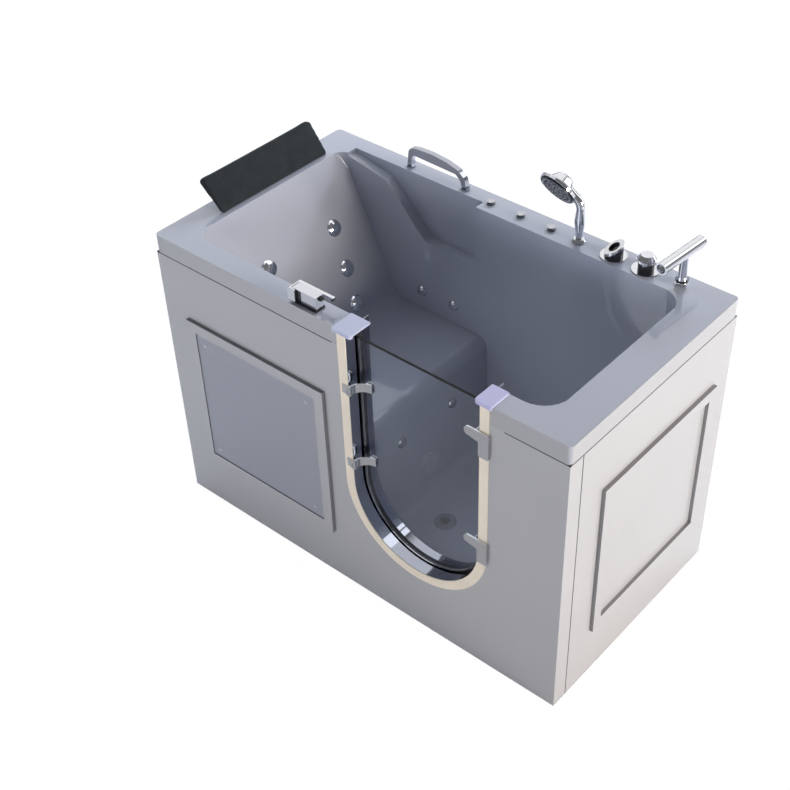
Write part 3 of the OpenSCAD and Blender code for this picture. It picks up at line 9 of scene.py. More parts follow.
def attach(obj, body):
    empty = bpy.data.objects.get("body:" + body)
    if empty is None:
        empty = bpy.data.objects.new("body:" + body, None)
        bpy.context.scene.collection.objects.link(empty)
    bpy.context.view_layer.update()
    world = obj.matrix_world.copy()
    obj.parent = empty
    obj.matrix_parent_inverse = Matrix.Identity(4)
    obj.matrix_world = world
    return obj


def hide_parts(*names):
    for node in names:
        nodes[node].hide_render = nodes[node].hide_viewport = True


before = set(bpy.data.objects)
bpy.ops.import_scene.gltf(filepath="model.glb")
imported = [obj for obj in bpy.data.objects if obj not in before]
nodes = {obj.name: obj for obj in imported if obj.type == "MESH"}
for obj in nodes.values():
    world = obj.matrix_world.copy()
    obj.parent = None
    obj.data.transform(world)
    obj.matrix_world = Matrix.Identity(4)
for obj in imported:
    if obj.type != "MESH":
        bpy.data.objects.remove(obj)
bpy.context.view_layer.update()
scene = bpy.context.scene
scene.view_settings.view_transform = "Standard"


# Camera, fitted to the photograph, which is 790 pixels square
AZIMUTH = math.radians(38.895)
ELEVATION = math.radians(41.475)
CAMERA_AT = (2.10005, -2.50772, 3.24942)
FRAME_PX = 790.0
FOCAL_PX = 1381.98
MIDDLE_PX = (459.31, 436.28)
SENSOR_MM = 36.0
CLIP = (0.05, 60.0)

cam_data = bpy.data.cameras.new("camera")
cam_data.sensor_width = SENSOR_MM
cam_data.lens = SENSOR_MM * FOCAL_PX / FRAME_PX
cam_data.shift_x = (FRAME_PX / 2 - MIDDLE_PX[0]) / FRAME_PX
cam_data.shift_y = (MIDDLE_PX[1] - FRAME_PX / 2) / FRAME_PX
cam_data.clip_start, cam_data.clip_end = CLIP
cam = bpy.data.objects.new("camera", cam_data)
cam.location = CAMERA_AT
cam.rotation_euler = (math.pi / 2 - ELEVATION, 0.0, AZIMUTH)
scene.collection.objects.link(cam)
scene.camera = cam


# Measures of the solids, in metres
WELD = 1e-5


def box_of(points):
    """Lowest and highest corner of the box round some points."""
    points = list(points)
    lo = Vector([min(p[k] for p in points) for k in range(3)])
    hi = Vector([max(p[k] for p in points) for k in range(3)])
    return lo, hi


def node_box(node):
    return box_of(v.co for v in nodes[node].data.vertices)


def node_middle(node):
    lo, hi = node_box(node)
    return (lo + hi) / 2


def centres(node):
    """Centre and size of each separate lump of a node's mesh."""
    bm = bmesh.new()
    bm.from_mesh(nodes[node].data)
    bmesh.ops.remove_doubles(bm, verts=bm.verts, dist=WELD)
    seen, out = set(), []
    for start in bm.verts:
        if start in seen:
            continue
        todo, lump = [start], []
        seen.add(start)
        while todo:
            corner = todo.pop()
            lump.append(corner.co.copy())
            for edge in corner.link_edges:
                other = edge.other_vert(corner)
                if other not in seen:
                    seen.add(other)
                    todo.append(other)
        lo, hi = box_of(lump)
        out.append(((lo + hi) / 2, hi - lo))
    bm.free()
    return out


def trim_square(node, axis):
    """A raised frame's square: its centre along the panel and in height, and its half size."""
    lo, hi = node_box(node)
    middle = node_middle(node)
    return middle[axis], middle.z, (hi.z - lo.z) / 2


FRONT_TRIM = trim_square("front_trim_frame", 0)
END_TRIM = trim_square("right_trim_frame", 1)
TUB_HI = node_box("tub_shell")[1]
DECK = TUB_HI.z
END_PANEL_LO, END_PANEL_HI = node_box("right_end_panel")
LEVER_LO, LEVER_HI = node_box("lever_base")


# Node trees: a helper makes one kind of node and gives its output
def feed(tree, socket, value):
    """Link the value where it is a socket itself, or set it as the socket's constant."""
    if isinstance(value, bpy.types.NodeSocket):
        tree.links.new(value, socket)
    else:
        socket.default_value = value


def new_tree(owner, output_type):
    """An empty node tree for a material or world, with its output."""
    owner.use_nodes = True
    tree = owner.node_tree
    tree.nodes.clear()
    return tree, tree.nodes.new(output_type)


def new_material(name):
    material = bpy.data.materials.new(name)
    tree, out = new_tree(material, "ShaderNodeOutputMaterial")
    shader = tree.nodes.new("ShaderNodeBsdfPrincipled")
    tree.links.new(shader.outputs["BSDF"], out.inputs["Surface"])
    return material, tree, shader


def coords(tree, scale=(1.0, 1.0, 1.0)):
    """The place in the shared frame, in metres times the scale."""
    source = tree.nodes.new("ShaderNodeTexCoord")
    mapping = tree.nodes.new("ShaderNodeMapping")
    mapping.inputs["Scale"].default_value = scale
    tree.links.new(source.outputs["Object"], mapping.inputs["Vector"])
    return mapping.outputs["Vector"]


def split(tree, vector):
    """Outputs X, Y and Z of a vector."""
    node = tree.nodes.new("ShaderNodeSeparateXYZ")
    tree.links.new(vector, node.inputs["Vector"])
    return node.outputs


def compute(tree, operation, *values):
    """One step of arithmetic on numbers."""
    node = tree.nodes.new("ShaderNodeMath")
    node.operation = operation
    for socket, value in zip(node.inputs, values):
        feed(tree, socket, value)
    return node.outputs[0]


def vector_compute(tree, operation, output, *values):
    """One step of arithmetic on vectors, with the output that is wanted of it."""
    node = tree.nodes.new("ShaderNodeVectorMath")
    node.operation = operation
    for socket, value in zip(node.inputs, values):
        feed(tree, socket, value)
    return node.outputs[output]


def overlap(tree, mask, *others):
    """The masks multiplied."""
    for other in others:
        mask = compute(tree, "MULTIPLY", mask, other)
    return mask


def either(tree, mask, *others):
    """The largest of the masks."""
    for other in others:
        mask = compute(tree, "MAXIMUM", mask, other)
    return mask


def noise(tree, place, scale, detail=4.0, rough=0.5):
    node = tree.nodes.new("ShaderNodeTexNoise")
    node.inputs["Scale"].default_value = scale
    node.inputs["Detail"].default_value = detail
    node.inputs["Roughness"].default_value = rough
    tree.links.new(place, node.inputs["Vector"])
    return node.outputs["Fac"]


def span(tree, value, lo, hi, start=0.0, end=1.0, smooth=False):
    """The value mapped from start..end onto lo..hi, and held at lo or hi outside of that."""
    node = tree.nodes.new("ShaderNodeMapRange")
    if smooth:
        node.interpolation_type = "SMOOTHSTEP"
    node.inputs["From Min"].default_value = start
    node.inputs["From Max"].default_value = end
    node.inputs["To Min"].default_value = lo
    node.inputs["To Max"].default_value = hi
    tree.links.new(value, node.inputs["Value"])
    return node.outputs["Result"]


def two_tone(tree, value, dark, light, start=0.3, end=0.7):
    node = tree.nodes.new("ShaderNodeValToRGB")
    first, last = node.color_ramp.elements
    first.position = start
    first.color = (*dark, 1.0)
    last.position = end
    last.color = (*light, 1.0)
    tree.links.new(value, node.inputs["Fac"])
    return node.outputs["Color"]


def mixed(tree, factor, first, second):
    node = tree.nodes.new("ShaderNodeMix")
    node.data_type = "RGBA"
    feed(tree, node.inputs["Factor"], factor)
    feed(tree, node.inputs["A"], first)
    feed(tree, node.inputs["B"], second)
    return node.outputs["Result"]


def mixed_shader(tree, factor, first, second):
    node = tree.nodes.new("ShaderNodeMixShader")
    tree.links.new(factor, node.inputs["Fac"])
    tree.links.new(first, node.inputs[1])
    tree.links.new(second, node.inputs[2])
    return node.outputs["Shader"]


def bump(tree, shader, height, strength, distance):
    node = tree.nodes.new("ShaderNodeBump")
    node.inputs["Strength"].default_value = strength
    node.inputs["Distance"].default_value = distance
    tree.links.new(height, node.inputs["Height"])
    tree.links.new(node.outputs["Normal"], shader.inputs["Normal"])


def plane_distance(tree, place, point, normal):
    """How far the place lies in front of a plane."""
    away = vector_compute(tree, "SUBTRACT", "Vector", place, point)
    return vector_compute(tree, "DOT_PRODUCT", "Value", away, normal)


def above(tree, value, edge, soft=0.0004):
    """Mask that turns from 0 to 1 where the value passes the edge."""
    return span(tree, value, 0.0, 1.0, edge - soft, edge + soft)


def above_z(tree, place, height, soft=0.0004):
    over = plane_distance(tree, place, (0.0, 0.0, height), (0.0, 0.0, 1.0))
    return above(tree, over, 0.0, soft)


def beyond(tree, value, middle):
    """How far the value is from the middle, to either side."""
    return compute(tree, "ABSOLUTE", compute(tree, "SUBTRACT", value, middle))


def shade(colour, factor):
    return tuple(min(1.0, x * factor) for x in colour)


def cloudy(tree, cloud, colour, mottle):
    return two_tone(tree, cloud, shade(colour, 1 - mottle), shade(colour, 1 + mottle))


# Kinds of finish
ACRYLIC_MOTTLE = 0.012
ORANGE_PEEL = 420.0
PANEL_ROUGH = 0.24
PANEL_COAT = 0.25


def acrylic_gloss(tree, shader, place, rough, coat):
    """Wiped gloss under a clear coat, with the faint orange peel of moulded acrylic."""
    wipe = noise(tree, place, 9.0, 2.0)
    feed(tree, shader.inputs["Roughness"], span(tree, wipe, rough * 0.93, rough * 1.1, 0.3, 0.7))
    shader.inputs["Coat Weight"].default_value = coat
    shader.inputs["Coat Roughness"].default_value = 0.03
    bump(tree, shader, noise(tree, place, ORANGE_PEEL, 2.0), 0.02, 0.0003)


def acrylic(name, colour, rough, coat=0.4, zone=None, zone_colour=None):
    """Gloss acrylic, in a second colour where the zone's mask is 1."""
    material, tree, shader = new_material(name)
    place = coords(tree)
    cloud = noise(tree, place, 3.0, 3.0)
    tone = cloudy(tree, cloud, colour, ACRYLIC_MOTTLE)
    if zone:
        second = cloudy(tree, cloud, zone_colour, ACRYLIC_MOTTLE)
        tone = mixed(tree, zone(tree, place), tone, second)
    feed(tree, shader.inputs["Base Color"], tone)
    acrylic_gloss(tree, shader, place, rough, coat)
    return material


# Tones of the painted shade beside a panel's raised frame and on the frame's returns
SHADE_DARK = 0.42
RETURN_SHADE = 0.6
# The painted shade's shift up and outward, and where it runs, as steps past the frame's outer edge
SHADE_SHIFT = 0.005
SHADE_FROM = -0.005
SHADE_TO = 0.003
SHADE_INNER_FROM = -0.021
SHADE_INNER_TO = -0.020
# A face turns from a return to the flat front between these parts of its normal along the panel's axis
FACING = (0.4, 0.8)


def trim_shade(tree, place, trim, face):
    """Painted shade: dark along the upper and outer edge of a raised frame, 1 elsewhere."""
    side, shift = ("X", SHADE_SHIFT) if face == "Y" else ("Y", -SHADE_SHIFT)
    along, height, half = trim
    axes = split(tree, place)
    far = either(tree, beyond(tree, axes[side], along + shift), beyond(tree, axes["Z"], height + SHADE_SHIFT))
    outside = span(tree, far, SHADE_DARK, 1.0, half + SHADE_FROM, half + SHADE_TO)
    inside = span(tree, far, 1.0, 0.0, half + SHADE_INNER_FROM, half + SHADE_INNER_TO)
    return either(tree, outside, inside)


def panel_acrylic(name, colour, trim, face, raised=False):
    """Panel acrylic with painted shade: darker returns on a raised frame, a shade beside the frame on a
    panel.

    trim is the frame's square as trim_square gives it, face the axis that the panel looks along.
    """
    material, tree, shader = new_material(name)
    place = coords(tree)
    normal = tree.nodes.new("ShaderNodeNewGeometry").outputs["True Normal"]
    flat = compute(tree, "ABSOLUTE", split(tree, normal)[face])
    if raised:
        factor = span(tree, flat, RETURN_SHADE, 1.0, *FACING)
    else:
        factor = either(tree, trim_shade(tree, place, trim, face), span(tree, flat, 1.0, 0.0, *FACING))
    scaled = tree.nodes.new("ShaderNodeVectorMath")
    scaled.operation = "SCALE"
    feed(tree, scaled.inputs[0], cloudy(tree, noise(tree, place, 3.0, 3.0), colour, ACRYLIC_MOTTLE))
    feed(tree, scaled.inputs["Scale"], factor)
    feed(tree, shader.inputs["Base Color"], scaled.outputs["Vector"])
    acrylic_gloss(tree, shader, place, PANEL_ROUGH, PANEL_COAT)
    return material


def polished(name, colour, rough=0.07, smudge=0.08, scale=60.0):
    material, tree, shader = new_material(name)
    place = coords(tree)
    shader.inputs["Metallic"].default_value = 1.0
    cloud = noise(tree, place, scale, 5.0, 0.6)
    feed(tree, shader.inputs["Base Color"], two_tone(tree, cloud, shade(colour, 0.96), colour))
    feed(tree, shader.inputs["Roughness"], span(tree, cloud, rough, rough + smudge, 0.35, 0.75))
    bump(tree, shader, noise(tree, place, 900.0, 1.0), 0.03, 0.0001)
    return material


def brushed(name, colour, grain, rough=0.3):
    """Steel with fine lines: the grain is how fine they are along X, Y and Z."""
    material, tree, shader = new_material(name)
    shader.inputs["Metallic"].default_value = 1.0
    lines = noise(tree, coords(tree, grain), 1.0, 3.0, 0.7)
    cloud = noise(tree, coords(tree), 25.0, 4.0)
    tone = two_tone(tree, cloud, shade(colour, 0.9), shade(colour, 1.04))
    feed(tree, shader.inputs["Base Color"], tone)
    feed(tree, shader.inputs["Roughness"], span(tree, lines, rough - 0.08, rough + 0.1, 0.25, 0.75))
    bump(tree, shader, lines, 0.12, 0.0002)
    return material


def moulded(name, colour, rough, grain, strength=0.15, mottle=0.06):
    material, tree, shader = new_material(name)
    place = coords(tree)
    cloud = noise(tree, place, 18.0, 4.0)
    feed(tree, shader.inputs["Base Color"], cloudy(tree, cloud, colour, mottle))
    feed(tree, shader.inputs["Roughness"], span(tree, cloud, rough - 0.06, rough + 0.08, 0.3, 0.7))
    bump(tree, shader, noise(tree, place, grain, 2.0), strength, 0.0003)
    return material


def zoned(name, inside, body, trim, rough_body=0.3, rough_trim=0.07):
    """Two finishes on one piece: bright trim where the mask of inside() is 1, dark body elsewhere."""
    material, tree, shader = new_material(name)
    place = coords(tree)
    mask = inside(tree, place)
    cloud = noise(tree, place, 60.0, 4.0)
    dark = two_tone(tree, cloud, shade(body, 0.92), shade(body, 1.06))
    bright = two_tone(tree, cloud, shade(trim, 0.96), trim)
    feed(tree, shader.inputs["Base Color"], mixed(tree, mask, dark, bright))
    feed(tree, shader.inputs["Metallic"], mask)
    feed(tree, shader.inputs["Roughness"], span(tree, mask, rough_body, rough_trim))
    bump(tree, shader, noise(tree, place, 700.0, 1.0), 0.04, 0.0001)
    return material


def fabric(name, colour):
    material, tree, shader = new_material(name)
    place = coords(tree)
    weave = noise(tree, place, 520.0, 3.0, 0.7)
    cloud = noise(tree, place, 22.0, 4.0)
    tone = two_tone(tree, weave, shade(colour, 0.55), shade(colour, 1.5))
    feed(tree, shader.inputs["Base Color"], tone)
    feed(tree, shader.inputs["Roughness"], span(tree, cloud, 0.72, 0.95, 0.3, 0.7))
    shader.inputs["Sheen Weight"].default_value = 0.03
    shader.inputs["Specular IOR Level"].default_value = 0.2
    bump(tree, shader, weave, 0.55, 0.0008)
    return material


# Door glass: clear, with a dark top edge
GLASS_TOP = node_box("door_glass")[1].z
GLASS_EDGE = 0.0012
GLASS_TINT = (0.84, 0.89, 0.97, 1.0)
GLASS_DARK = (0.006, 0.012, 0.014, 1.0)


def glass_material():
    material, tree, shader = new_material("door_glass")
    place = coords(tree)
    edge = above_z(tree, place, GLASS_TOP - GLASS_EDGE, 0.0003)
    feed(tree, shader.inputs["Base Color"], mixed(tree, edge, GLASS_TINT, GLASS_DARK))
    shader.inputs["Transmission Weight"].default_value = 1.0
    shader.inputs["IOR"].default_value = 1.3
    wipe = noise(tree, place, 9.0, 5.0, 0.6)
    feed(tree, shader.inputs["Roughness"], span(tree, wipe, 0.0, 0.05, 0.4, 0.8))
    return material


# Hand shower: a dark nozzle plate with turned rings round its middle, their lighter tone a painted highlight
NOZZLE_MIDDLE = (0.164, 0.338, 1.160)
RING_PITCH = 0.0145
NOZZLE_DARK = (0.006, 0.007, 0.010)
NOZZLE_LIGHT = (0.11, 0.115, 0.135)


def nozzle_face(name):
    material, tree, shader = new_material(name)
    far = vector_compute(tree, "DISTANCE", "Value", coords(tree), NOZZLE_MIDDLE)
    wave = compute(tree, "SINE", compute(tree, "MULTIPLY", far, 2 * math.pi / RING_PITCH))
    ring = span(tree, wave, 0.0, 1.0, -0.5, 0.5)
    feed(tree, shader.inputs["Base Color"], two_tone(tree, ring, NOZZLE_DARK, NOZZLE_LIGHT))
    feed(tree, shader.inputs["Roughness"], span(tree, ring, 0.42, 0.2))
    bump(tree, shader, ring, 0.3, 0.0006)
    return material


# Zones of a second finish on one piece
SKIRT_SKIN = 0.002
SKIRT_SOFT = 0.0015


def skirt_zone(tree, place):
    """The outer faces of the rim's skirt, which match the panels below them."""
    axes = split(tree, place)
    masks = []
    for axis, half in (("X", TUB_HI.x), ("Y", TUB_HI.y)):
        size = compute(tree, "ABSOLUTE", axes[axis])
        masks.append(above(tree, size, half - SKIRT_SKIN, SKIRT_SOFT))
    return either(tree, *masks)


# The diverter's slanted face: its centre, the way it looks, and the dark dial inside its rim
DIVERTER_RISE = 0.030
DIVERTER = node_middle("diverter_handle")
DIVERTER_CENTRE = (DIVERTER.x, DIVERTER.y, DECK + DIVERTER_RISE)
DIVERTER_NORMAL = (-0.4257, -0.3326, 0.8415)
DIVERTER_RIM_DROP = 0.007
DIVERTER_DIAL_R = 0.0185


def diverter_zone(tree, place):
    """The chrome rim round the diverter's dial."""
    over = plane_distance(tree, place, DIVERTER_CENTRE, DIVERTER_NORMAL)
    far = vector_compute(tree, "DISTANCE", "Value", place, DIVERTER_CENTRE)
    return overlap(tree, above(tree, over, -DIVERTER_RIM_DROP), above(tree, far, DIVERTER_DIAL_R))


MIXER_CAP_RISE = 0.027


def mixer_zone(tree, place):
    """The chrome cap of the mixer's knob."""
    return above_z(tree, place, DECK + MIXER_CAP_RISE)


# Drain control: painted dark reflection's width at its left end; black bottom's and chrome top's heights over
# the deck
LEFT_REFLECTION_WIDTH = 0.035
COVER_LOW = 0.008
COVER_TOP = 0.0442


def lever_zone(tree, place):
    """Chrome over black: black along the bottom, and the left end painted black as a dark reflection."""
    left_end = (LEVER_LO.x + LEFT_REFLECTION_WIDTH, 0.0, 0.0)
    right = above(tree, plane_distance(tree, place, left_end, (1.0, 0.0, 0.0)), 0.0)
    low = above_z(tree, place, DECK + COVER_LOW)
    return either(tree, overlap(tree, right, low), above_z(tree, place, DECK + COVER_TOP))


# The drain strainer is painted dark as shade: its face nearly black, its chrome flange dim
STRAINER_FACE_R = 0.017
STRAINER_SOFT = 0.002


def drain_zone(tree, place):
    """The strainer's flange, outside its pierced face."""
    middle = centres("drain_strainer")[0][0]
    far = vector_compute(tree, "DISTANCE", "Value", place, middle)
    return above(tree, far, STRAINER_FACE_R, STRAINER_SOFT)


# Acrylic
WHITE = (0.426, 0.441, 0.500)
PANEL = (0.492, 0.482, 0.474)
tub_mat = acrylic("acrylic_tub", WHITE, rough=0.12, coat=0.9, zone=skirt_zone, zone_colour=shade(PANEL, 0.91))
panel_mat = acrylic("acrylic_panels", PANEL, rough=PANEL_ROUGH, coat=PANEL_COAT)
# Painted shade beside the panels' raised frames and on the frames' returns
front_panel_mat = panel_acrylic("panel_front", PANEL, FRONT_TRIM, "Y")
right_panel_mat = panel_acrylic("panel_right", PANEL, END_TRIM, "X")
front_trim_mat = panel_acrylic("trim_front", PANEL, FRONT_TRIM, "Y", raised=True)
end_trim_mat = panel_acrylic("trim_ends", PANEL, END_TRIM, "X", raised=True)
access_mat = acrylic("acrylic_access", (0.355, 0.365, 0.395), rough=0.3, coat=0.1)
cap_left_mat = acrylic("cap_left_plastic", (0.56, 0.58, 0.72), rough=0.2, coat=0.3)
cap_right_mat = acrylic("cap_right_plastic", (0.57, 0.55, 0.78), rough=0.2, coat=0.3)
grille_mat = acrylic("grille_plastic", (0.46, 0.47, 0.51), rough=0.16)

# Plastic, rubber, enamel, paint and zinc
flange_mat = moulded("flange_enamel", (0.97, 0.855, 0.665), 0.38, 700.0, strength=0.08, mottle=0.03)
access_screw_mat = moulded("access_screw_zinc", (0.86, 0.87, 0.88), 0.22, 300.0, strength=0.05, mottle=0.02)
# Near-black of the screw recesses: painted shade
recess_shade_mat = moulded("screw_recess", (0.01, 0.01, 0.011), 0.6, 300.0)
# Black rubber, also on the strips of painted shade in the panel joints
rubber_and_joint_shade_mat = moulded("seal_rubber", (0.012, 0.012, 0.013), 0.45, 350.0, strength=0.2)
frame_mat = moulded("frame_paint", (0.36, 0.37, 0.39), 0.42, 260.0, strength=0.12, mottle=0.12)
foot_mat = moulded("feet_plastic", (0.03, 0.03, 0.033), 0.5, 300.0)
pump_mat = moulded("pump_plastic", (0.02, 0.021, 0.024), 0.42, 300.0)
motor_mat = moulded("motor_paint", (0.07, 0.09, 0.13), 0.4, 300.0)
blower_mat = moulded("blower_plastic", (0.04, 0.042, 0.047), 0.5, 300.0)
pipe_mat = moulded("pipe_plastic", (0.70, 0.71, 0.73), 0.35, 200.0, strength=0.06)
air_mat = moulded("air_pipe_plastic", (0.36, 0.39, 0.43), 0.4, 200.0, strength=0.06)

# Polished and brushed metal
reveal_mat = polished("reveal_steel", (0.50, 0.50, 0.54), rough=0.025, smudge=0.03, scale=20.0)
latch_mat = polished("latch_steel", (0.66, 0.67, 0.69), rough=0.16, smudge=0.12)
screw_mat = polished("screw_steel", (0.86, 0.87, 0.90), rough=0.12, smudge=0.1, scale=120.0)
chrome_mat = polished("fitting_chrome", (0.80, 0.81, 0.84), rough=0.05, smudge=0.07)
satin_mat = polished("button_satin", (0.56, 0.57, 0.60), rough=0.13, scale=90.0)
sleeve_mat = polished("button_sleeve_chrome", (0.42, 0.43, 0.46), smudge=0.06, scale=90.0)
grab_mat = polished("grab_chrome", (0.50, 0.52, 0.58), rough=0.06, smudge=0.06)
jet_mat = polished("jet_chrome", (0.78, 0.79, 0.83), rough=0.06, smudge=0.06)
# Darker copies of the jet chrome: painted shade on the side and riser jets
side_jet_shaded_mat = polished("side_jet_chrome_shaded", (0.60, 0.61, 0.65), rough=0.08, smudge=0.06)
riser_jet_shaded_mat = polished("riser_jet_chrome_shaded", (0.42, 0.43, 0.47), rough=0.09, smudge=0.06)
brass_mat = polished("valve_brass", (0.62, 0.47, 0.22), rough=0.28, smudge=0.15, scale=50.0)
hinge_mat = brushed("hinge_steel", (0.66, 0.66, 0.65), grain=(900.0, 60.0, 60.0), rough=0.27)
bracket_mat = brushed("bracket_steel", (0.6, 0.6, 0.62), grain=(60.0, 900.0, 60.0))
feed_mat = brushed("feed_steel", (0.62, 0.63, 0.65), grain=(900.0, 900.0, 900.0))

# Fabric, glass and the pieces with two finishes
DARK_BODY = (0.02, 0.021, 0.025)
cushion_mat = fabric("cushion_cover", (0.021, 0.025, 0.027))
glass_mat = glass_material()
nozzle_mat = nozzle_face("shower_nozzles")
diverter_mat = zoned("diverter_dark", diverter_zone, DARK_BODY, (0.80, 0.81, 0.84), rough_body=0.12)
mixer_mat = zoned("mixer_dark", mixer_zone, DARK_BODY, (0.80, 0.81, 0.86), rough_body=0.12, rough_trim=0.12)
# The drain control's black left end is a painted reflection
lever_mat = zoned("lever_block", lever_zone, (0.012, 0.012, 0.014), (0.72, 0.73, 0.78), rough_body=0.12)
# Painted shade on the drain strainer
drain_shaded_mat = zoned("drain_chrome_shaded", drain_zone, (0.03, 0.032, 0.04), (0.42, 0.43, 0.48), rough_trim=0.22)

NODE_MATERIAL = {
    "tub_shell": tub_mat, "front_panel": front_panel_mat, "right_end_panel": right_panel_mat,
    "left_end_panel": panel_mat, "front_trim_frame": front_trim_mat, "right_trim_frame": end_trim_mat,
    "left_trim_frame": end_trim_mat, "access_panel": access_mat, "access_screws": access_screw_mat,
    "door_flange": flange_mat, "door_reveal": reveal_mat, "door_gasket": rubber_and_joint_shade_mat,
    "rim_cap_left": cap_left_mat, "rim_cap_right": cap_right_mat, "hinge_leaves": hinge_mat,
    "hinge_pins": hinge_mat, "door_glass": glass_mat, "hinge_straps": latch_mat,
    "hinge_clamps": hinge_mat, "latch_upper": latch_mat, "latch_lower": latch_mat,
    "headrest": cushion_mat, "headrest_brackets": bracket_mat, "grab_handle": grab_mat,
    "button_sleeves": sleeve_mat, "air_button_1": satin_mat, "air_button_2": satin_mat,
    "air_button_3": satin_mat, "shower_ferrule": chrome_mat, "hand_shower": chrome_mat,
    "shower_face": nozzle_mat, "diverter_base": chrome_mat, "diverter_handle": diverter_mat,
    "mixer_base": chrome_mat, "mixer_knob": mixer_mat, "spout_base": chrome_mat,
    "spout": chrome_mat, "lever_base": lever_mat, "drain_lever": chrome_mat,
    "backrest_jets": jet_mat, "side_jets": side_jet_shaded_mat, "riser_jets": riser_jet_shaded_mat,
    "suction_grille": grille_mat, "overflow_cover": chrome_mat, "drain_strainer": drain_shaded_mat,
    "frame_legs": frame_mat, "frame_rails": frame_mat, "frame_cross_members": frame_mat,
    "frame_posts": frame_mat, "levelling_feet": foot_mat, "pump_body": pump_mat,
    "pump_motor": motor_mat, "air_blower": blower_mat, "pressure_pipes": pipe_mat,
    "suction_pipe": pipe_mat, "air_pipes": air_mat, "drain_pipe": pipe_mat,
    "supply_manifold": brass_mat, "feed_pipes": feed_mat,
}
for name, solid in nodes.items():
    for slot in solid.material_slots:
        slot.material = NODE_MATERIAL[name]


# Rounded edges: each piece's radius
BEVEL = {
    "front_panel": 0.0015, "right_end_panel": 0.0015, "left_end_panel": 0.0015,
    "front_trim_frame": 0.0016, "right_trim_frame": 0.0016, "left_trim_frame": 0.0016,
    "access_panel": 0.001, "rim_cap_left": 0.0025, "rim_cap_right": 0.0025, "hinge_straps": 0.0008,
    "latch_upper": 0.0008, "latch_lower": 0.0008, "lever_base": 0.0015, "drain_lever": 0.0008,
    "grab_handle": 0.003, "door_flange": 0.0005, "door_glass": 0.0006, "hinge_leaves": 0.0008,
    "pump_body": 0.002, "supply_manifold": 0.0015, "headrest_brackets": 0.0006,
    "mixer_base": 0.0008, "diverter_base": 0.0008,
}
BEVEL_ANGLE = math.radians(40)
for name, width in BEVEL.items():
    mod = nodes[name].modifiers.new("edge_radius", "BEVEL")
    mod.width = width
    mod.segments = 2
    mod.limit_method = "ANGLE"
    mod.angle_limit = BEVEL_ANGLE
    mod.use_clamp_overlap = True


# Headrest: a padded cushion worked out as inflated cloth over the solid's shape
REST_MIDDLE = (-0.7165, 1.0523)
REST_END_R = 0.016
REST_END_DRAW = 0.13
REST_VOXEL = 0.0045
REST_SEWN = 0.04
REST_SWELL = 0.002
CLOTH_FRAMES = 20
# How far the cushion's box reaches past the solid's, at the low and the high side of X, Y and Z
REST_PROUD = ((0.001, 0.005), (0.005, 0.005), (0.0, 0.004))


def square_ends(bm):
    """The cover is sewn square at both ends, so the solid's drawn-in ends are filled out again."""
    lo, hi = box_of(v.co for v in bm.verts)
    for v in bm.verts:
        depth = min(v.co.y - lo.y, hi.y - v.co.y)
        if depth < REST_END_R:
            rise = math.sqrt(max(0.0, 1 - (1 - depth / REST_END_R) ** 2))
            drawn = 1 - (1 - rise) * REST_END_DRAW
            v.co.x = REST_MIDDLE[0] + (v.co.x - REST_MIDDLE[0]) / drawn
            v.co.z = REST_MIDDLE[1] + (v.co.z - REST_MIDDLE[1]) / drawn


def inflate(ob):
    """Blow the cushion up as cloth, by 2 mm at most and less toward its sewn ends."""
    start = [v.co.copy() for v in ob.data.vertices]
    settings = ob.modifiers.new("cloth", "CLOTH").settings
    settings.quality = 5
    settings.mass = 0.3
    settings.tension_stiffness = 18.0
    settings.compression_stiffness = 18.0
    settings.bending_stiffness = 1.2
    settings.use_pressure = True
    settings.uniform_pressure_force = 4.0
    settings.effector_weights.gravity = 0.0
    settings.shrink_min = -0.02
    for number in range(1, CLOTH_FRAMES + 1):
        scene.frame_set(number)
    bpy.ops.object.modifier_apply(modifier="cloth")
    lo, hi = box_of(start)
    for v, place in zip(ob.data.vertices, start):
        step = v.co - place
        free = min(1.0, min(place.y - lo.y, hi.y - place.y) / REST_SEWN)
        v.co = place + step * (free * min(1.0, REST_SWELL / max(step.length, 1e-9)))
    scene.frame_set(1)


def fit_to_box(ob, want_lo, want_hi):
    """Stretch a mesh along each axis so that it fills a box."""
    lo, hi = box_of(v.co for v in ob.data.vertices)
    for v in ob.data.vertices:
        for k in range(3):
            share = (v.co[k] - lo[k]) / (hi[k] - lo[k])
            v.co[k] = want_lo[k] + share * (want_hi[k] - want_lo[k])


def padded_headrest():
    mesh = nodes["headrest"].data.copy()
    mesh.name = "headrest_cushion"
    ob = bpy.data.objects.new("headrest_cushion", mesh)
    scene.collection.objects.link(ob)
    mesh.materials.clear()
    bm = bmesh.new()
    bm.from_mesh(mesh)
    bmesh.ops.remove_doubles(bm, verts=bm.verts, dist=WELD)
    square_ends(bm)
    bmesh.ops.recalc_face_normals(bm, faces=bm.faces)
    bm.to_mesh(mesh)
    bm.free()
    bpy.context.view_layer.objects.active = ob
    ob.select_set(True)
    remesh = ob.modifiers.new("remesh", "REMESH")
    remesh.mode = "VOXEL"
    remesh.voxel_size = REST_VOXEL
    bpy.ops.object.modifier_apply(modifier="remesh")
    inflate(ob)
    sub = ob.modifiers.new("smooth", "SUBSURF")
    sub.levels = sub.render_levels = 1
    bpy.ops.object.modifier_apply(modifier="smooth")
    lo, hi = node_box("headrest")
    want_lo = [a - proud[0] for a, proud in zip(lo, REST_PROUD)]
    want_hi = [a + proud[1] for a, proud in zip(hi, REST_PROUD)]
    fit_to_box(ob, want_lo, want_hi)
    for poly in ob.data.polygons:
        poly.use_smooth = True
    ob.data.materials.append(cushion_mat)
    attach(ob, "tub")
    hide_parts("headrest")


padded_headrest()


# Small hardware, each piece built in the shared frame
SMOOTH_AREA = 2e-4


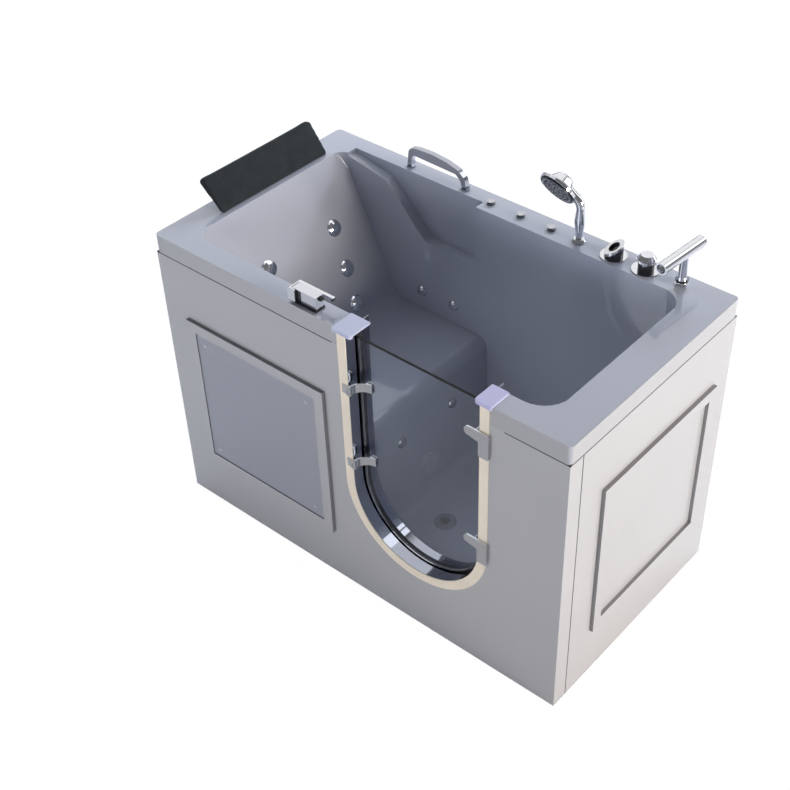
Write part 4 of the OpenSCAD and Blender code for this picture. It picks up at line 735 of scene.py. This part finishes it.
def piece(name, build, material, body):
    mesh = bpy.data.meshes.new(name)
    bm = bmesh.new()
    build(bm)
    bmesh.ops.recalc_face_normals(bm, faces=bm.faces)
    bm.to_mesh(mesh)
    bm.free()
    ob = bpy.data.objects.new(name, mesh)
    scene.collection.objects.link(ob)
    mesh.materials.append(material)
    for poly in mesh.polygons:
        poly.use_smooth = len(poly.vertices) == 4 and poly.area < SMOOTH_AREA
    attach(ob, body)


def box(bm, lo, hi, turn=None):
    centre = [(a + b) / 2 for a, b in zip(lo, hi)]
    size = [b - a for a, b in zip(lo, hi)]
    place = Matrix.Translation(centre)
    if turn is not None:
        place = place @ turn
    bmesh.ops.create_cube(bm, size=1.0, matrix=place @ Matrix.Diagonal((*size, 1.0)))


def drum(bm, at, axis, radius, height, sides):
    place = Matrix.Translation(at) @ Vector(axis).to_track_quat("Z", "Y").to_matrix().to_4x4()
    bmesh.ops.create_cone(bm, cap_ends=True, cap_tris=False, segments=sides, radius1=radius,
                          radius2=radius, depth=height, matrix=place)


def turns(count, shift=0.0):
    """Angles of equal steps round a circle."""
    return [2 * math.pi * (i + shift) / count for i in range(count)]


def skin(bm, rings):
    """Faces between each ring of corners and the next."""
    for ring, following in zip(rings, rings[1:]):
        for i in range(len(ring)):
            j = (i + 1) % len(ring)
            bm.faces.new((ring[i], ring[j], following[j], following[i]))


RECESS_REACH = 0.0032
RECESS_HALF = 0.0006
RECESS_DEPTH = 0.0006
RECESS_PROUD = 0.00015


def screw_recesses(bm):
    """Near-black crosses on the access panel's screw heads: painted shade in their cross recesses."""
    for centre, size in centres("access_screws"):
        face = centre.y - size.y / 2
        lo = (centre.x - RECESS_REACH, face - RECESS_PROUD, centre.z - RECESS_HALF)
        hi = (centre.x + RECESS_REACH, face + RECESS_DEPTH, centre.z + RECESS_HALF)
        for turn in (45.0, -45.0):
            box(bm, lo, hi, Matrix.Rotation(math.radians(turn), 4, "Y"))


# The seal's section: radius and height over the deck at its four corners
SEAL_IN_R = 0.0184
SEAL_OUT_R = 0.0193
SEAL_SECTION = ((SEAL_IN_R, 0.0145), (SEAL_OUT_R, 0.0150), (SEAL_OUT_R, 0.0185), (SEAL_IN_R, 0.0190))
SEAL_SIDES = 48


def spout_seal(bm):
    """Rubber ring between the spout and its base."""
    x, y = node_middle("spout_base").xy
    rings = []
    for radius, rise in SEAL_SECTION:
        rings.append([bm.verts.new((x + radius * math.cos(a), y + radius * math.sin(a), DECK + rise))
                      for a in turns(SEAL_SIDES)])
    skin(bm, rings + rings[:1])


# The clamping screw: its profile is given as steps along X and shares of its radius
KNOB_SUNK = 0.0018
KNOB_FROM_FRONT = 0.021
KNOB_RISE = 0.037
KNOB_R = 0.0072
KNOB_LOBE = 0.0009
KNOB_LOBES = 8
KNOB_SIDES = 40
KNOB_PROFILE = ((-0.0004, 0.86), (0.0012, 1.0), (0.0046, 1.0), (0.0058, 0.84))


def lever_knob(bm):
    """Lobed clamping screw on the end of the drain control's block."""
    x, y, z = LEVER_HI.x - KNOB_SUNK, LEVER_LO.y + KNOB_FROM_FRONT, DECK + KNOB_RISE
    rings = []
    for step, share in KNOB_PROFILE:
        ring = []
        for a in turns(KNOB_SIDES):
            radius = share * (KNOB_R + KNOB_LOBE * math.cos(KNOB_LOBES * a))
            ring.append(bm.verts.new((x + step, y + radius * math.cos(a), z + radius * math.sin(a))))
        rings.append(ring)
    skin(bm, rings)
    bm.faces.new(rings[0])
    bm.faces.new(rings[-1])


UP = (0.0, 0.0, 1.0)
HEXAGON = 6
FOOT_NUT_Z = 0.0515
FOOT_NUT_R = 0.0105
FOOT_NUT_H = 0.008
FOOT_WASHER_Z = 0.0465
FOOT_WASHER_R = 0.0125
FOOT_WASHER_H = 0.0015
FOOT_WASHER_SIDES = 28


def foot_nuts(bm):
    """Hexagon lock nuts and washers on the stems of the levelling feet, under the frame."""
    feet = [centre for centre, size in centres("levelling_feet")]
    stems = dict.fromkeys((round(foot.x, 3), round(foot.y, 3)) for foot in feet)
    for x, y in stems:
        drum(bm, (x, y, FOOT_NUT_Z), UP, FOOT_NUT_R, FOOT_NUT_H, HEXAGON)
        drum(bm, (x, y, FOOT_WASHER_Z), UP, FOOT_WASHER_R, FOOT_WASHER_H, FOOT_WASHER_SIDES)


PUMP_FACE = (-0.4015, -0.070, 0.184)
PUMP_BOLTS = 8
PUMP_BOLT_CIRCLE_R = 0.062
PUMP_BOLT_R = 0.0048
PUMP_BOLT_H = 0.005


def pump_bolts(bm):
    """Cover bolts round the pump's casing, heads toward the suction side."""
    x, y, z = PUMP_FACE
    for a in turns(PUMP_BOLTS, 0.5):
        at = (x, y + PUMP_BOLT_CIRCLE_R * math.cos(a), z + PUMP_BOLT_CIRCLE_R * math.sin(a))
        drum(bm, at, (-1.0, 0.0, 0.0), PUMP_BOLT_R, PUMP_BOLT_H, HEXAGON)


# The front panel runs up to the rim's top this far to the left and right of the door's middle
MERGE_LEFT = 0.285
MERGE_RIGHT = 0.309
# How far the strips of painted shade stand out and reach in, and where they run past the seam and corner
SHADE_STRIP_PROUD = 0.0005
SHADE_STRIP_DEPTH = 0.001
SHADE_STRIP_SEAM = (-0.0008, 0.0018)
SHADE_STRIP_CORNER = (-0.0023, 0.0003)


def painted_joint_shade(bm):
    """Near-black strips of painted shade in the joints under the rim's skirt and beside the end panels."""
    x, y = TUB_HI.x, TUB_HI.y
    door = node_middle("door_flange").x
    low, high = (END_PANEL_HI.z + step for step in SHADE_STRIP_SEAM)
    for x0, x1 in ((-x - SHADE_STRIP_PROUD, door - MERGE_LEFT), (door + MERGE_RIGHT, x + SHADE_STRIP_PROUD)):
        box(bm, (x0, -y - SHADE_STRIP_PROUD, low), (x1, -y + SHADE_STRIP_DEPTH, high))
    front, back = (END_PANEL_LO.y + step for step in SHADE_STRIP_CORNER)
    for x0, x1 in ((-x - SHADE_STRIP_PROUD, -x + SHADE_STRIP_DEPTH), (x - SHADE_STRIP_DEPTH, x + SHADE_STRIP_PROUD)):
        box(bm, (x0, -y, low), (x1, y, high))
        box(bm, (x0, front, END_PANEL_LO.z), (x1, back, low))


# Painted shade in the cross recesses of the access panel's screws
piece("access_screw_recesses", screw_recesses, recess_shade_mat, "tub")
piece("lever_clamp_screw", lever_knob, rubber_and_joint_shade_mat, "tub")
piece("foot_lock_nuts", foot_nuts, screw_mat, "tub")
piece("pump_cover_bolts", pump_bolts, screw_mat, "tub")
# Painted shade: near-black strips in the panel joints
piece("panel_joint_shade_strips", painted_joint_shade, rubber_and_joint_shade_mat, "tub")
piece("spout_base_seal", spout_seal, rubber_and_joint_shade_mat, "tub")


# Floor: nearly white to the camera, while a little of the object's soft shadow stays
PURE_WHITE = (1.0, 1.0, 1.0, 1.0)
FLOOR_COLOUR = (0.85, 0.85, 0.86, 1.0)
FLOOR_GLOW = 1.04
FLOOR_GLOW_SHARE = 0.95
FLOOR_SIZE = 40.0


def seen_by_camera(tree):
    """Mask of the camera's rays, with those that have passed through the glass."""
    rays = tree.nodes.new("ShaderNodeLightPath").outputs
    return either(tree, rays["Is Camera Ray"], rays["Is Transmission Ray"])


def floor_material():
    material = bpy.data.materials.new("floor_paint")
    tree, out = new_tree(material, "ShaderNodeOutputMaterial")
    paint = tree.nodes.new("ShaderNodeBsdfDiffuse")
    paint.inputs["Color"].default_value = FLOOR_COLOUR
    glow = tree.nodes.new("ShaderNodeEmission")
    glow.inputs["Color"].default_value = PURE_WHITE
    glow.inputs["Strength"].default_value = FLOOR_GLOW
    share = compute(tree, "MULTIPLY", seen_by_camera(tree), FLOOR_GLOW_SHARE)
    surface = mixed_shader(tree, share, paint.outputs["BSDF"], glow.outputs["Emission"])
    tree.links.new(surface, out.inputs["Surface"])
    return material


bpy.ops.mesh.primitive_plane_add(size=FLOOR_SIZE, location=(0.0, 0.0, 0.0))
floor = bpy.context.object
floor.name = "studio_floor"
floor.data.materials.append(floor_material())


# Sky: brightest along the horizon, and white where the camera sees it
SKY_COLOUR = (0.80, 0.85, 1.0, 1.0)
SKY_BRIGHT = 3.6
SKY_DIM = 0.05
SKY_FALL = (0.02, 0.25)
SKY_GLOSSY_SHARE = 0.12
LOBE_AIM = (-0.47, 0.58, 0.665)
LOBE_EDGE = (0.72, 0.86)
LOBE_OUTSIDE = 0.16
STRIP_GAIN = 1.9
# Each soft edge of the strip: its axis, the mask before and after it, and where it starts and ends
STRIP_EDGES = (("X", 0.0, 1.0, 0.26, 0.29), ("X", 1.0, 0.0, 0.60, 0.64), ("Y", 0.0, 1.0, 0.40, 0.46))


def background(tree, colour, strength):
    node = tree.nodes.new("ShaderNodeBackground")
    node.inputs["Color"].default_value = colour
    feed(tree, node.inputs["Strength"], strength)
    return node.outputs["Background"]


def studio_sky():
    """Soft sky, dimmed for glossy rays.

    Polished metal and gloss show a white lobe up at the back left and a bright strip up at the back right.
    """
    world = bpy.data.worlds.new("studio")
    tree, out = new_tree(world, "ShaderNodeOutputWorld")
    way = tree.nodes.new("ShaderNodeTexCoord").outputs["Generated"]
    axes = split(tree, way)
    glossy = tree.nodes.new("ShaderNodeLightPath").outputs["Is Glossy Ray"]
    fall = span(tree, axes["Z"], SKY_BRIGHT, SKY_DIM, *SKY_FALL, smooth=True)
    sky = background(tree, SKY_COLOUR, overlap(tree, fall, span(tree, glossy, 1.0, SKY_GLOSSY_SHARE)))
    aimed = vector_compute(tree, "DOT_PRODUCT", "Value", way, LOBE_AIM)
    lobe = overlap(tree, glossy, span(tree, aimed, LOBE_OUTSIDE, 1.0, *LOBE_EDGE))
    strip = glossy
    for axis, before, after, start, end in STRIP_EDGES:
        strip = overlap(tree, strip, span(tree, axes[axis], before, after, start, end))
    white = background(tree, PURE_WHITE, span(tree, strip, 1.0, STRIP_GAIN))
    share = either(tree, seen_by_camera(tree), lobe, strip)
    tree.links.new(mixed_shader(tree, share, sky, white), out.inputs["Surface"])
    return world


scene.world = studio_sky()


# Lights: those that aren't mirrored don't show in polished metal
def area(name, at, target, size, power, colour, mirrored=True):
    light = bpy.data.lights.new(name, "AREA")
    light.shape = "RECTANGLE"
    light.size, light.size_y = size
    light.energy = power
    light.color = colour
    lamp = bpy.data.objects.new(name, light)
    lamp.location = at
    lamp.rotation_euler = (Vector(target) - Vector(at)).to_track_quat("-Z", "Y").to_euler()
    lamp.visible_glossy = mirrored
    scene.collection.objects.link(lamp)


area("key_right", at=(10.0, 1.55, 3.6), target=(0.0, 0.0, 0.75), size=(2.75, 2.06), power=880.0,
     colour=(1.0, 0.925, 0.845))
area("top_soft", at=(-1.1, 0.3, 4.2), target=(-0.3, 0.0, 0.9), size=(2.6, 2.2), power=12.0,
     colour=(0.84, 0.88, 1.0))
area("back_soft", at=(-0.6, 4.6, 3.3), target=(0.0, 0.0, 1.0), size=(3.4, 1.0), power=265.0,
     colour=(0.79, 0.87, 1.0), mirrored=False)
area("left_soft", at=(-2.7, 0.5, 2.7), target=(-0.75, 0.0, 1.0), size=(1.5, 1.5), power=36.0,
     colour=(0.80, 0.87, 1.0), mirrored=False)
area("front_fill", at=(0.0, -5.0, 0.6), target=(0.0, 0.0, 0.25), size=(3.0, 1.0), power=31.0,
     colour=(0.98, 0.97, 1.0), mirrored=False)
